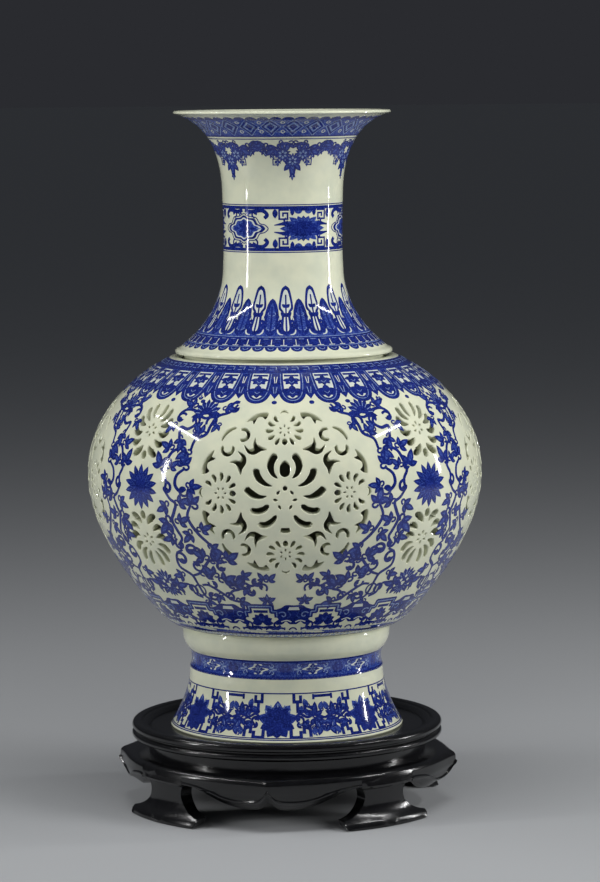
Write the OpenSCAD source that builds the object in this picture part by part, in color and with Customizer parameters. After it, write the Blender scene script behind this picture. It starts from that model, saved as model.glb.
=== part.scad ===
// Porcelain vase in four fired pieces on a jointed hardwood stand.
// The pierced body stands on its own foot, an inner vase turns inside it on a pivot,
// and the neck is keyed to the inner vase and lifts off.
// Origin: the middle of the stand's footprint, on the surface it stands on. +Z is up, the front is -Y.

/* [Foot] */
// Height of the foot from where it stands to its joint with the body
foot_h = 51.5; // [45:0.5:62]
// Radius of the foot where it stands
foot_r = 75.8; // [63:0.2:91]
// Radius of the foot's stem, just under the recessed band
stem_r = 63; // [60:0.2:66]
// Height of the recessed band under the joint
band_h = 12; // [8:0.5:16]
// Depth of the recessed band behind the stem
band_depth = 1.6; // [0.8:0.1:2.5]
// Width of the ring that the foot stands on
foot_ring_w = 6; // [4:0.5:9]
// Thickness of the stem's wall
stem_wall = 8; // [6:0.5:11]
// Height of the floor's underside above the ring
floor_up = 20; // [16:0.5:24]
// Thickness of the foot's floor
floor_t = 6; // [5:0.5:8]
// Outer radius of the spigot that enters the body
spigot_r = 57; // [54:0.2:58]
// Height of the spigot
spigot_h = 6; // [4:0.5:8]
// Thickness of the spigot's wall
spigot_wall = 5; // [4:0.5:7]

/* [Body] */
// Height of the pierced body from its joint with the foot to its mouth
body_h = 190.5; // [165:0.5:230]
// Radius of the belly at its widest
belly_r = 128; // [108:0.5:154]
// Height of the widest place above the joint with the foot
belly_up = 114.5; // [95:0.5:130]
// Thickness of the body's wall
body_wall = 5; // [4:0.1:6]
// Inner radius of the body's mouth
mouth_bore_r = 66.3; // [55:0.1:80]
// Width of the mouth's rim
rim_w = 7.9; // [6:0.1:9]
// Radius of the bead at the bottom of the body
bead_r = 67.5; // [65:0.1:70]
// Height of the bead
bead_h = 15.5; // [12:0.5:18]
// Radius at which the belly's long lower curve begins
basin_r = 80; // [76:0.5:86]
// Height at which the belly's long lower curve begins, above the bead
basin_up = 6; // [4:0.5:10]

/* [Piercing] */
// Radius of the four large openwork roundels
roundel_r = 57; // [46:0.5:62]
// Radius of the eight small openwork flowers
floret_r = 19; // [15:0.5:21]
// Height between a small flower and the belly's widest place
floret_step = 32; // [28:0.5:36]
// Number of petals in each openwork flower
petals = 8; // [6:1:10]

/* [Neck] */
// Height of the neck piece from its flange to its rim
neck_h = 156.3; // [130:0.1:188]
// Outer radius of the trumpet rim
rim_r = 70; // [60:0.5:84]
// Outer radius of the neck at its narrowest
throat_r = 38.4; // [34:0.2:46]
// Height of the foot of the neck's straight part above the flange
straight_low = 56; // [48:0.5:66]
// Height of the top of the neck's straight part above the flange
straight_high = 101; // [90:0.5:110]
// Thickness of the neck's wall
neck_wall = 5; // [4:0.1:6]
// How far the flange stands out past the mouth's bore
flange_over = 4.2; // [3:0.1:6]
// Open seam between the flange and the body's mouth
seam = 1.7; // [0.8:0.1:2.5]
// Depth of the locating lip below the flange
lip_depth = 7; // [5:0.5:9]
// Thickness of the locating lip
lip_wall = 4.4; // [3.5:0.1:5]
// Height of the ledge that sits on the inner vase, above the flange
ledge_up = 3.8; // [3:0.1:4.5]
// Width of the ledge that sits on the inner vase
ledge_w = 2.8; // [2:0.1:3.5]

/* [Inner vase] */
// Thickness of the inner vase's wall
liner_wall = 4; // [3:0.1:5]
// Height of the inner vase's collar
collar_h = 14; // [10:0.5:20]
// Radius of the inner vase's base
liner_base_r = 36; // [30:0.5:44]
// Radius of the pivot pin
pin_r = 6; // [4.5:0.1:7.5]
// Length of the pivot pin below the base
pin_l = 16; // [12:0.5:20]
// How far the pivot socket is sunk into the foot's floor
socket_sink = 2; // [1:0.5:3]
// Depth of the pivot socket
socket_depth = 10; // [7:0.5:11]
// Thickness of the wall round the pivot socket
socket_wall = 7; // [5:0.5:9]
// Width of the key that turns the neck
key_w = 8; // [6:0.5:12]
// Height of the key
key_h = 6; // [4:0.5:6.5]

/* [Clearances] */
// Between the inner vase's belly and the mouth it passes through
pass_clear = 2.3; // [1:0.1:4]
// Between the locating lip and the mouth's bore
lip_clear = 1.6; // [0.6:0.1:2.5]
// Between the collar of the inner vase and the locating lip
collar_clear = 0.4; // [0.3:0.05:0.8]
// Between the pivot pin and its socket
pin_clear = 0.3; // [0.2:0.05:0.6]
// Between the key and its notch
key_clear = 0.4; // [0.3:0.05:0.8]
// Between the foot's spigot and the body, filled by the luting
lute_clear = 0.3; // [0.2:0.05:0.6]
// Between the vase's foot and the top ring of the stand
foot_clear = 13; // [4:0.5:20]

/* [Stand] */
// Height of the panel that the vase stands on
seat_h = 51.5; // [44:0.5:62]
// Angle by which the stand is turned under the vase
stand_turn = -6.7; // [-45:0.1:45]
// Thickness of the panel
panel_t = 4; // [3:0.5:6]
// Height of the top ring above the panel
ring_up = 4; // [2:0.5:6]
// Thickness of the top ring
ring_t = 11; // [9:0.5:13]
// Width of the top ring's moulding, outside the panel
ring_w = 12.5; // [10:0.5:16]
// Width of the ledge under the panel's edge
rebate_w = 7; // [5:0.5:9]
// Height of the waist
waist_h = 8.5; // [6:0.5:11]
// How far the waist stands back from the top ring
waist_back = 11; // [8:0.5:14]
// Thickness of the wood in the waist
waist_wall = 8.5; // [7:0.5:11]
// Height of the upright face of the aprons and legs, at the top
face_h = 9.5; // [7:0.5:12]
// How far the legs' shoulders stand out past the top ring
shoulder_out = 2.5; // [1:0.5:5]
// How far the point of each apron stands out past the shoulders
apron_point = 7; // [4:0.5:10]
// Height of the bottom of the apron's two drops
apron_low = 15.5; // [12:0.5:19]
// Distance of each drop from the apron's middle
drop_at = 11; // [8:0.5:14]
// Height of the notch between the apron's two drops
notch_z = 20; // [18:0.5:23]
// Width of a leg's shoulder
shoulder_w = 42; // [34:0.5:50]
// Width of a leg's shaft
shaft_w = 21; // [16:0.5:26]
// Width of a leg's foot over its two toes
toes_w = 68; // [56:1:76]
// Height of the toes
toe_h = 7.5; // [6:0.5:9]
// Thickness of the legs and aprons at the shoulder
frame_wall = 15.3; // [12:0.1:18]
// Radius of the legs' round tenons
tenon_r = 3; // [2.5:0.1:3.5]
// Radius of the dowels
dowel_r = 1.5; // [1:0.1:2]
// Length of the dowels
dowel_l = 12; // [8:0.5:14]

/* [Hidden] */
$fn = 96;

GLAZE = "ivory";
EBONISED = [0.11, 0.11, 0.12];

// Heights of the vase's joints
joint_z = seat_h + foot_h;
mouth_z = joint_z + body_h;
flange_z = mouth_z + seam;
top_z = flange_z + neck_h;
belly_z = joint_z + belly_up;

// Radii that follow from the mouth's bore, from the outside in
flange_r = mouth_bore_r + flange_over;
lip_out_r = mouth_bore_r - lip_clear;
lip_in_r = lip_out_r - lip_wall;
collar_r = lip_in_r - collar_clear;
liner_r = mouth_bore_r - pass_clear;

// Height of the top of the body's narrow throat above the bead
throat_up = 4;
// Share of the room in the throat that the inner vase's first curve heads for
throat_share = 0.715;
throat_room = spigot_r - spigot_wall - pass_clear - liner_base_r;

// Heights of the inner vase
floor_z = seat_h + floor_up + floor_t;
socket_floor_z = floor_z - socket_sink;
pin_end_z = socket_floor_z;
liner_base_z = pin_end_z + pin_l;
liner_top_z = flange_z + ledge_up;
lip_end_z = flange_z - lip_depth;

// Stand
panel_r = foot_r + foot_clear;
ring_r = panel_r + ring_w;
ring_top_z = seat_h + ring_up;
ring_low_z = ring_top_z - ring_t;
waist_r = ring_r - waist_back;
face_top_z = ring_low_z - waist_h;
face_low_z = face_top_z - face_h;
shoulder_r = ring_r + shoulder_out;
frame_bore_r = shoulder_r - frame_wall;
tenon_at_r = waist_r - waist_wall / 2;
apron_dowel_z = face_top_z - face_h / 2;
overlap = 0.01;
steps = 9;

// A cubic curve between two ends, as a list of points
function curve(a, b, c, d, n = steps) = [for (i = [0:n]) let (t = i / n, u = 1 - t)
    u * u * u * a + 3 * u * u * t * b + 3 * u * t * t * c + t * t * t * d];
// A point that lies a share of the way from one point to another, with a share for each direction
function between(a, b, across, up) = [a[0] + (b[0] - a[0]) * across, a[1] + (b[1] - a[1]) * up];
function heading(p, i) = p[min(i + 1, len(p) - 1)] - p[max(i - 1, 0)];
// A line of points moved to its left by a wall's thickness
function inset(p, w) = [for (i = [0:len(p) - 1]) let (d = heading(p, i)) p[i] + w * [-d[1], d[0]] / norm(d)];
function backwards(p) = [for (i = [len(p) - 1:-1:0]) p[i]];
function inside_z(p, low, high) = [for (q = p) if (q[1] > low && q[1] < high) q];
// A half outline joined to its own mirror image
function both_sides(half) = concat(half, [for (q = backwards(half)) [-q[0], q[1]]]);

// Outlines of the vase, from the bottom up
foot_flare = let (a = [foot_r, seat_h + 1], b = [stem_r, joint_z - band_h])
    curve(a, between(a, b, 0.69, 0.39), between(a, b, 0.98, 0.62), b);
band_line = let (a = [stem_r, joint_z - band_h], b = [stem_r + 0.6, joint_z])
    curve(a, a + [-1.3 * band_depth, band_h / 4], b + [-1.3 * band_depth, -band_h / 4], b, 5);
bead_line = let (a = [stem_r + 0.6, joint_z], b = [bead_r - 1, joint_z + bead_h])
    curve(a, a + [4.5, bead_h * 0.3], b + [2, -bead_h * 0.2], b, 6);
basin = [basin_r, joint_z + bead_h + basin_up];
basin_line = let (a = [bead_r - 1, joint_z + bead_h], b = basin)
    curve(a, a + [(basin_r - bead_r) * 0.5, 0.4], b + [-4, -3.2], b, 4);
belly = [belly_r, belly_z];
lower_line = curve(basin, between(basin, belly, 0.46, 0.25), between(basin, belly, 1, 0.63), belly, 12);
body_rim = [mouth_bore_r + rim_w, mouth_z - 1];
upper_line = curve(belly, between(belly, body_rim, 0, 0.4), between(belly, body_rim, 0.37, 0.78), body_rim, 12);

straight_a = [throat_r + 0.5, flange_z + straight_low];
straight_b = [throat_r + 0.6, flange_z + straight_high];
shoulder_a = [flange_r - 3, flange_z + 3.6];
shoulder_line = curve(shoulder_a, between(shoulder_a, straight_a, 0.68, 0.28),
    between(shoulder_a, straight_a, 1, 0.62), straight_a, 10);
neck_line = curve(straight_a, straight_a + [-0.8, 15], straight_b + [-0.8, -15], straight_b, 4);
flare_end = [rim_r, top_z - 2];
flare_line = curve(straight_b, between(straight_b, flare_end, 0, 0.51),
    between(straight_b, flare_end, 0.29, 0.89), flare_end, 10);
neck_outline = concat(shoulder_line, neck_line, flare_line);

liner_belly = [liner_r, liner_base_z + (liner_top_z - liner_base_z) * 0.6];
liner_foot = [liner_base_r, liner_base_z + 8];
liner_neck = [collar_r, liner_top_z - collar_h];
liner_line = concat(
    curve(liner_foot,
        [liner_base_r + throat_room * throat_share, between(liner_foot, liner_belly, 0, 0.1)[1]],
        between(liner_foot, liner_belly, 1, 0.5), liner_belly, 10),
    curve(liner_belly, between(liner_belly, liner_neck, 0, 0.4),
        between(liner_belly, liner_neck, 0.4, 0.9), liner_neck, 6));

// Vase -----------------------------------------------------------------------------------------------------

// One hole of an openwork flower: a petal that points outwards from the origin
module petal(near, far, width) {
    middle = near + (far - near) * 0.6;
    polygon([[near, 0], [middle, -width / 2], [far, -width / 4], [far, width / 4], [middle, width / 2]]);
}

// A ring of petal holes
module flower(radius, count) {
    for (i = [0:count - 1])
        rotate([0, 0, 90 + i * 360 / count]) petal(radius * 0.36, radius * 0.92, radius * 2.2 / count);
}

// One large roundel: a flower in the middle, four round it, and leaf scrolls in the corners
module roundel() {
    flower(roundel_r * 0.42, 6);
    for (a = [0:90:270]) rotate([0, 0, a]) {
        translate([roundel_r * 0.7, 0]) flower(roundel_r * 0.26, petals);
        for (s = [-1, 1]) rotate([0, 0, 45 + s * 11]) petal(roundel_r * 0.52, roundel_r * 0.9, roundel_r * 0.1);
    }
}

// Cuts a flat drawing through the wall, towards the front and then turned round the axis
module cut_wall(azimuth, height) {
    rotate([0, 0, azimuth]) translate([0, -liner_r - 6, height]) rotate([90, 0, 0])
        linear_extrude(belly_r - liner_r) children();
}

module outer_body() {
    outside = concat(bead_line, basin_line, lower_line, upper_line);
    wall_inside = inside_z(inset(concat(lower_line, upper_line), body_wall), 0, mouth_z - 4);
    socket_r = spigot_r + lute_clear;
    bore_r = spigot_r - spigot_wall;
    socket_top = joint_z + spigot_h + lute_clear;
    color(GLAZE) difference() {
        rotate_extrude() polygon(concat(
            [[socket_r, joint_z]], outside,
            [[mouth_bore_r + rim_w - 3, mouth_z], [mouth_bore_r + 1, mouth_z], [mouth_bore_r, mouth_z - 1],
             [mouth_bore_r, mouth_z - 4]],
            backwards(wall_inside),
            [[bore_r, joint_z + bead_h + throat_up], [bore_r, socket_top], [socket_r, socket_top]]));
        for (a = [0:90:270]) {
            cut_wall(a, belly_z) roundel();
            for (s = [-1, 1]) cut_wall(a + 45, belly_z + s * floret_step) flower(floret_r, petals);
        }
    }
}

module foot_base() {
    ring_in_r = foot_r - foot_ring_w;
    hollow_r = stem_r - stem_wall;
    bore_r = spigot_r - spigot_wall;
    socket_r = pin_r + pin_clear;
    boss_z = socket_floor_z + socket_depth;
    color(GLAZE) rotate_extrude() polygon(concat(
        [[foot_r - 1, seat_h]], foot_flare, band_line,
        [[spigot_r, joint_z], [spigot_r, joint_z + spigot_h], [bore_r, joint_z + spigot_h],
         [bore_r, floor_z + 4], [bore_r - 4, floor_z],
         [socket_r + socket_wall, floor_z], [socket_r + socket_wall - 1, boss_z], [socket_r, boss_z],
         [socket_r, socket_floor_z], [0, socket_floor_z], [0, seat_h + floor_up],
         [hollow_r - 4, seat_h + floor_up], [hollow_r, seat_h + floor_up - 4],
         [ring_in_r - 2, seat_h + 3], [ring_in_r, seat_h]]));
}

module inner_vase() {
    wall_inside = inset(liner_line, liner_wall);
    floor_top = liner_base_z + liner_wall + 4;
    collar_in_r = collar_r - liner_wall;
    color(GLAZE) {
        rotate_extrude() polygon(concat(
            [[0, pin_end_z], [pin_r - 1, pin_end_z], [pin_r, pin_end_z + 1], [pin_r, liner_base_z],
             [liner_base_r - 1, liner_base_z], [liner_base_r, liner_base_z + 1]],
            liner_line,
            [[collar_r, liner_top_z], [collar_in_r, liner_top_z]],
            backwards(inside_z(wall_inside, floor_top + 1, liner_top_z)),
            [[liner_base_r - liner_wall - 3, floor_top], [0, floor_top]]));
        // The key, which stands out of the collar into the neck's notch
        intersection() {
            translate([0, -key_w / 2, lip_end_z - 6]) cube([lip_out_r, key_w, key_h + 6]);
            rotate_extrude() polygon([[collar_r - 1, lip_end_z + key_h], [lip_out_r - 1, lip_end_z + key_h],
                [lip_out_r - 1, lip_end_z], [collar_r - 1, lip_end_z - 5]]);
        }
    }
}

module neck_section() {
    ledge_z = liner_top_z;
    wall_inside = inside_z(inset(neck_outline, neck_wall), ledge_z + 5, top_z - 3);
    color(GLAZE) difference() {
        rotate_extrude() polygon(concat(
            [[lip_out_r, lip_end_z], [lip_out_r, flange_z], [flange_r - 0.6, flange_z],
             [flange_r, flange_z + 0.6], [flange_r, flange_z + 1.8]],
            neck_outline,
            [[rim_r + 0.2, top_z - 1], [rim_r - 0.6, top_z], [rim_r - 3, top_z - 0.2]],
            backwards(wall_inside),
            [[lip_in_r - ledge_w, ledge_z], [lip_in_r, ledge_z], [lip_in_r, lip_end_z]]));
        // The notch for the inner vase's key
        translate([lip_in_r - 2, -key_w / 2 - key_clear, lip_end_z - 1])
            cube([lip_wall + 3, key_w + 2 * key_clear, key_h + key_clear + 1]);
    }
}

// Stand ----------------------------------------------------------------------------------------------------

module stand_panel() {
    color(EBONISED) translate([0, 0, seat_h - panel_t]) cylinder(r = panel_r, h = panel_t);
}

// One of the four arcs of the moulded top ring, numbered anticlockwise from +X
module ring_arc(number) {
    crown_r = ring_r - ring_w * 0.35;
    groove_z = ring_low_z + ring_t * 0.55;
    bead_z = ring_low_z + ring_t * 0.3;
    start = stand_turn + (number - 1) * 90;
    color(EBONISED) difference() {
        rotate([0, 0, start]) rotate_extrude(angle = 90) polygon(concat(
            [[panel_r - rebate_w, ring_low_z], [ring_r - 2.5, ring_low_z]],
            curve([ring_r - 1.5, ring_low_z + 0.8], [ring_r + 0.3, bead_z - 1], [ring_r + 0.3, bead_z + 1.5],
                [ring_r - 1.5, groove_z], 5),
            curve([ring_r - 1.2, groove_z + 0.6], [ring_r + 0.4, groove_z + 1.5], [ring_r - 0.5, ring_top_z],
                [crown_r, ring_top_z], 6),
            curve([crown_r - 2, ring_top_z - 0.1], [crown_r - 5, ring_top_z - 0.6],
                [panel_r + 1.5, seat_h + 1.5], [panel_r, seat_h], 4),
            [[panel_r, seat_h - panel_t], [panel_r - rebate_w, seat_h - panel_t]]));
        at_tenons() cylinder(r = tenon_r, h = tenon_top() - ring_low_z + overlap);
        at_ring_joints() rotate([90, 0, 0]) cylinder(r = dowel_r, h = dowel_l, center = true);
    }
}

function tenon_top() = seat_h - panel_t;

// Places its children at the legs' tenons, on the underside of the top ring
module at_tenons() {
    for (a = [45:90:315]) rotate([0, 0, stand_turn + a]) translate([tenon_at_r, 0, ring_low_z]) children();
}

// Places its children at the middle of the top ring's butt joints, with Y across the joint
module at_ring_joints() {
    for (a = [0:90:270]) rotate([0, 0, stand_turn + a])
        translate([ring_r - ring_w * 0.6, 0, ring_low_z + ring_t * 0.35]) children();
}

module stand_ring_1() ring_arc(1);
module stand_ring_2() ring_arc(2);
module stand_ring_3() ring_arc(3);
module stand_ring_4() ring_arc(4);

module stand_ring_dowels() {
    color(EBONISED) at_ring_joints() rotate([90, 0, 0]) cylinder(r = dowel_r, h = dowel_l, center = true);
}

module stand_waist() {
    color(EBONISED) difference() {
        translate([0, 0, face_top_z]) cylinder(r = waist_r, h = waist_h);
        translate([0, 0, face_top_z - 1]) cylinder(r = waist_r - waist_wall, h = waist_h + 2);
        translate([0, 0, -waist_h - 1]) at_tenons() cylinder(r = tenon_r, h = waist_h + 2);
    }
}

// The section of the legs: shoulder, hollow shaft and flared foot
module leg_section() {
    shaft_r = shoulder_r - 4;
    rotate_extrude() polygon(concat(
        [[frame_bore_r, 0], [shoulder_r + 3.5, 0], [shoulder_r + 4, 2.5]],
        curve([shoulder_r + 3, 3], [shaft_r + 2, 8], [shaft_r, 13], [shaft_r, face_low_z - 8], 6),
        curve([shaft_r, face_low_z - 6], [shaft_r + 2, face_low_z - 6], [shoulder_r, face_low_z - 5],
            [shoulder_r, face_low_z], 5),
        [[shoulder_r, face_top_z - 1.2], [shoulder_r - 1.2, face_top_z], [frame_bore_r, face_top_z]]));
}

// A leg seen from the front
module leg_front() {
    arch_z = (face_low_z + toe_h) / 2;
    polygon(both_sides(concat(
        [[toes_w / 2 - 3, 0]],
        curve([toes_w / 2 - 1.5, 0.8], [toes_w / 2 + 0.5, 3], [toes_w / 2 + 0.5, toe_h],
            [toes_w / 2 - 3, toe_h], 5),
        curve([toes_w / 2 - 6, toe_h - 1.5], [shaft_w / 2 + 6, toe_h - 3.5], [shaft_w / 2, toe_h + 1],
            [shaft_w / 2, arch_z], 6),
        curve([shaft_w / 2, arch_z + 2], [shaft_w / 2, face_low_z - 2], [shaft_w / 2 + 4, face_low_z],
            [shoulder_w / 2, face_low_z + 1], 5),
        [[shoulder_w / 2, face_top_z]])));
}

// Leg n stands between aprons n and n + 1
module leg(number) {
    color(EBONISED) {
        rotate([0, 0, stand_turn + number * 90 - 45]) difference() {
            intersection() {
                leg_section();
                translate([frame_bore_r - 20, 0, 0]) rotate([90, 0, 90]) linear_extrude(50) leg_front();
            }
            leg_dowel_holes();
        }
        rotate([0, 0, stand_turn + number * 90 - 45])
            translate([tenon_at_r, 0, face_top_z]) cylinder(r = tenon_r, h = tenon_top() - face_top_z);
        // The block inside the leg that the tenon is turned from
        rotate([0, 0, stand_turn + number * 90 - 45])
            translate([tenon_at_r - tenon_r - 1, -shaft_w / 2, face_low_z])
                cube([frame_bore_r - tenon_at_r + tenon_r + 3, shaft_w, face_h]);
    }
}

// Dowels out of both sides of a leg's shoulder, with the leg's middle on +X
module leg_dowel_holes() {
    for (s = [-1, 1]) translate([dowel_at_r(), s * shoulder_w / 2, apron_dowel_z])
        rotate([90, 0, 0]) cylinder(r = dowel_r, h = dowel_l, center = true);
}

function dowel_at_r() = (frame_bore_r + shoulder_r) / 2;

module stand_leg_1() leg(1);
module stand_leg_2() leg(2);
module stand_leg_3() leg(3);
module stand_leg_4() leg(4);

module stand_apron_dowels() {
    color(EBONISED) for (n = [1:4]) rotate([0, 0, stand_turn + n * 90 - 45]) leg_dowel_holes();
}

// The apron seen from above, a bracket that comes to a point in the middle, with the middle on +X
module apron_plan() {
    point = [shoulder_r + apron_point, 0];
    hip = [shoulder_r * cos(20) + 1.5, shoulder_r * sin(20)];
    knee = [shoulder_r * cos(45), shoulder_r * sin(45)];
    half = concat(
        curve(point, point + [-3.5, 6], hip + [6, -12], hip, 8),
        curve(hip, hip + [-4, 8], knee + [5, -6], knee, 6));
    difference() {
        polygon(concat([[0, 0]], [for (q = backwards(half)) [q[0], -q[1]]], half));
        circle(r = frame_bore_r);
        for (s = [-1, 1]) rotate([0, 0, s * 45]) translate([0, -shoulder_w / 2])
            square([2 * shoulder_r, shoulder_w]);
    }
}

// The apron's face: the notch in the middle, a drop on each side of it and the rise to the arch
module apron_front() {
    polygon(both_sides(concat(
        curve([0.4, notch_z - 0.4], [2, apron_low + 1], [drop_at - 5, apron_low], [drop_at, apron_low], 5),
        curve([drop_at, apron_low], [drop_at + 10, apron_low], [drop_at + 12, face_low_z - 1],
            [40, face_low_z - 1], 7),
        [[90, face_low_z - 1], [90, face_top_z]])));
}

module apron(number) {
    color(EBONISED) rotate([0, 0, stand_turn + (number - 1) * 90]) difference() {
        intersection() {
            linear_extrude(face_top_z) apron_plan();
            rotate([90, 0, 90]) linear_extrude(2 * shoulder_r) apron_front();
            rotate_extrude() polygon([[0, 0], [shoulder_r - 5, 0], [shoulder_r - 5, apron_low],
                [shoulder_r + apron_point + 1, face_low_z], [shoulder_r + apron_point + 1, face_top_z - 1],
                [shoulder_r + apron_point - 1, face_top_z], [0, face_top_z]]);
        }
        for (s = [-45, 45]) rotate([0, 0, s]) leg_dowel_holes();
    }
}

module stand_apron_1() apron(1);
module stand_apron_2() apron(2);
module stand_apron_3() apron(3);
module stand_apron_4() apron(4);

neck_section();
inner_vase();
outer_body();
foot_base();
stand_panel();
stand_ring_1();
stand_ring_2();
stand_ring_3();
stand_ring_4();
stand_ring_dowels();
stand_waist();
stand_leg_1();
stand_leg_2();
stand_leg_3();
stand_leg_4();
stand_apron_1();
stand_apron_2();
stand_apron_3();
stand_apron_4();
stand_apron_dowels();
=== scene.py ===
import logging
import math
from dataclasses import dataclass, field
from enum import Enum

import bmesh
import bpy
import numpy as np
from mathutils import Matrix, Vector
from mathutils.geometry import delaunay_2d_cdt


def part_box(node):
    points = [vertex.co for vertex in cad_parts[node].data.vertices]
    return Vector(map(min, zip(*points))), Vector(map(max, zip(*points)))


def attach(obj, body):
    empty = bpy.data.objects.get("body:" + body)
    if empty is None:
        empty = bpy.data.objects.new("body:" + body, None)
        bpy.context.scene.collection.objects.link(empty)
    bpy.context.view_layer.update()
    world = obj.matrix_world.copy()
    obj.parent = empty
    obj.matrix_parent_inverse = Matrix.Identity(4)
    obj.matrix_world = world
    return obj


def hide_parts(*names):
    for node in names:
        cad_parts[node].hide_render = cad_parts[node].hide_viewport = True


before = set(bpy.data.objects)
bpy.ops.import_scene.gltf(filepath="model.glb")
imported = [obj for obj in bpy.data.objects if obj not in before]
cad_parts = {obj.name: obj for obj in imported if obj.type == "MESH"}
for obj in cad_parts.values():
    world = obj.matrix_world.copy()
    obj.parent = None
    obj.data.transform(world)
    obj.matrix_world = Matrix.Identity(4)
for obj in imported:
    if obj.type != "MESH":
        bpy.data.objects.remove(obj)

# Looks of a blue and white porcelain vase with a pierced belly, on a carved ebonised stand.
# Outlines are in millimetres, with z up from the surface that the stand stands on; objects are in metres.
# On a wrapped surface x runs round it, y runs up it and z stands off it.

LOG = logging.getLogger("vase")
MM = 0.001
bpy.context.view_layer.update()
Array = np.ndarray
Pair = tuple[float, float]


# ---------------------------------------------------------------------------------------------------------
# Curves in the plane
# ---------------------------------------------------------------------------------------------------------

def cubic(a: Pair, b: Pair, c: Pair, d: Pair, count: int = 24) -> Array:
    """Draws a cubic curve between two ends.

    Args:
        a: Start of the curve.
        b: Handle of the start.
        c: Handle of the end.
        d: End of the curve.
        count: Number of steps.

    Returns:
        The curve's points, one a row.
    """
    t = np.linspace(0, 1, count + 1)[:, None]
    p, q, r, s = (np.array(v, float) for v in (a, b, c, d))
    return (1 - t) ** 3 * p + 3 * (1 - t) ** 2 * t * q + 3 * (1 - t) * t ** 2 * r + t ** 3 * s


def share(a: Pair, b: Pair, across: float, up: float) -> Pair:
    """Returns the point that lies a share of the way from a to b, with a share for each direction."""
    return (a[0] + (b[0] - a[0]) * across, a[1] + (b[1] - a[1]) * up)


def smooth(points: list[Pair], per: int = 6, closed: bool = False) -> Array:
    """Draws a smooth line through points.

    Args:
        points: The points that the line passes.
        per: Steps between two points.
        closed: Whether the line ends where it starts.

    Returns:
        The line's points, without a repeated end on a closed line.
    """
    p = np.array(points, float)
    ends = (p[-1:], p[:2]) if closed else (2 * p[:1] - p[1:2], 2 * p[-1:] - p[-2:-1])
    q = np.vstack([ends[0], p, ends[1]])
    t = np.linspace(0, 1, per, endpoint=False)[:, None]
    line = [0.5 * (2 * b + (c - a) * t + (2 * a - 5 * b + 4 * c - d) * t ** 2
                   + (3 * b - a - 3 * c + d) * t ** 3)
            for a, b, c, d in zip(q, q[1:], q[2:], q[3:])]
    return np.vstack(line if closed else [*line, p[-1:]])


def arc(centre: Pair, radius: float, start: float, end: float, count: int = 12) -> Array:
    """Draws part of a circle, with its angles in degrees anticlockwise from the x axis."""
    a = np.radians(np.linspace(start, end, count + 1))
    return np.column_stack([centre[0] + radius * np.cos(a), centre[1] + radius * np.sin(a)])


def circle(centre: Pair, radius: float, count: int = 16) -> Array:
    """Draws a full circle without a repeated end."""
    return arc(centre, radius, 0, 360, count)[:-1]


def spiral(centre: Pair, radius: float, start: float, turns: float, inner: float = 0.15,
           count: int = 22) -> Array:
    """Draws a spiral from its outer end inwards.

    Args:
        centre: Middle of the spiral.
        radius: Radius at the outer end.
        start: Angle of the outer end in degrees.
        turns: Turns made on the way in, negative for clockwise.
        inner: Share of the radius at which it stops.
        count: Number of steps.

    Returns:
        The spiral's points.
    """
    t = np.linspace(0, 1, count + 1)
    a = np.radians(start) + t * turns * 2 * math.pi
    r = radius * (1 - (1 - inner) * t ** 0.8)
    return np.column_stack([centre[0] + r * np.cos(a), centre[1] + r * np.sin(a)])


def turned(points: Array, degrees: float = 0, size: float = 1, at: Pair = (0, 0),
           flip: bool = False) -> Array:
    """Mirrors points in the y axis if asked, then scales, turns and moves them."""
    p = np.array(points, float) * (-1 if flip else 1, 1) * size
    a = math.radians(degrees)
    return p @ np.array([[math.cos(a), math.sin(a)], [-math.sin(a), math.cos(a)]]) + at


def sides(line: Array, width: float | Array, closed: bool = False) -> tuple[Array, Array]:
    """Moves a line to its left and to its right.

    Args:
        line: Points of the line.
        width: Width between the two sides, one value or one for each point.
        closed: Whether the line ends where it starts.

    Returns:
        The left side and the right side.
    """
    if closed:
        run = np.roll(line, -1, axis=0) - np.roll(line, 1, axis=0)
    else:
        run = np.gradient(line, axis=0)
    run = run / np.maximum(np.linalg.norm(run, axis=1), 1e-9)[:, None]
    reach = np.asarray(width, float) / 2 * np.ones(len(line))
    half = np.column_stack([-run[:, 1], run[:, 0]]) * reach[:, None]
    return line + half, line - half


def resampled(line: Array, step: float) -> Array:
    """Adds points to a line where two of them lie more than a step apart."""
    parts = []
    for a, b in zip(line, line[1:]):
        count = max(1, math.ceil(math.dist(a, b) / step))
        parts.append(a + (b - a) * (np.arange(count) / count)[:, None])
    return np.vstack([*parts, line[-1:]])


def outline_of(line: Array, width: float, taper: Pair = (1, 1)) -> Array:
    """Draws the closed outline of a brush stroke with round ends.

    Args:
        line: Middle line of the stroke.
        width: Width in the middle of the stroke.
        taper: Width of the start and of the end, as a share of the width.

    Returns:
        The outline's points.
    """
    t = np.linspace(0, 1, len(line))
    swell = np.interp(t, [0, 0.5, 1], [taper[0], 1, taper[1]])
    ends = np.clip(np.minimum(t, 1 - t) * np.linalg.norm(np.diff(line, axis=0), axis=1).sum() / (width / 2),
                   0, 1)
    round_end = np.sqrt(np.maximum(1 - (1 - ends) ** 2, 0.09))
    left, right = sides(line, width * swell * round_end)
    return np.vstack([left, right[::-1]])


# ---------------------------------------------------------------------------------------------------------
# Surfaces that drawings are wrapped on
# ---------------------------------------------------------------------------------------------------------

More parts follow.
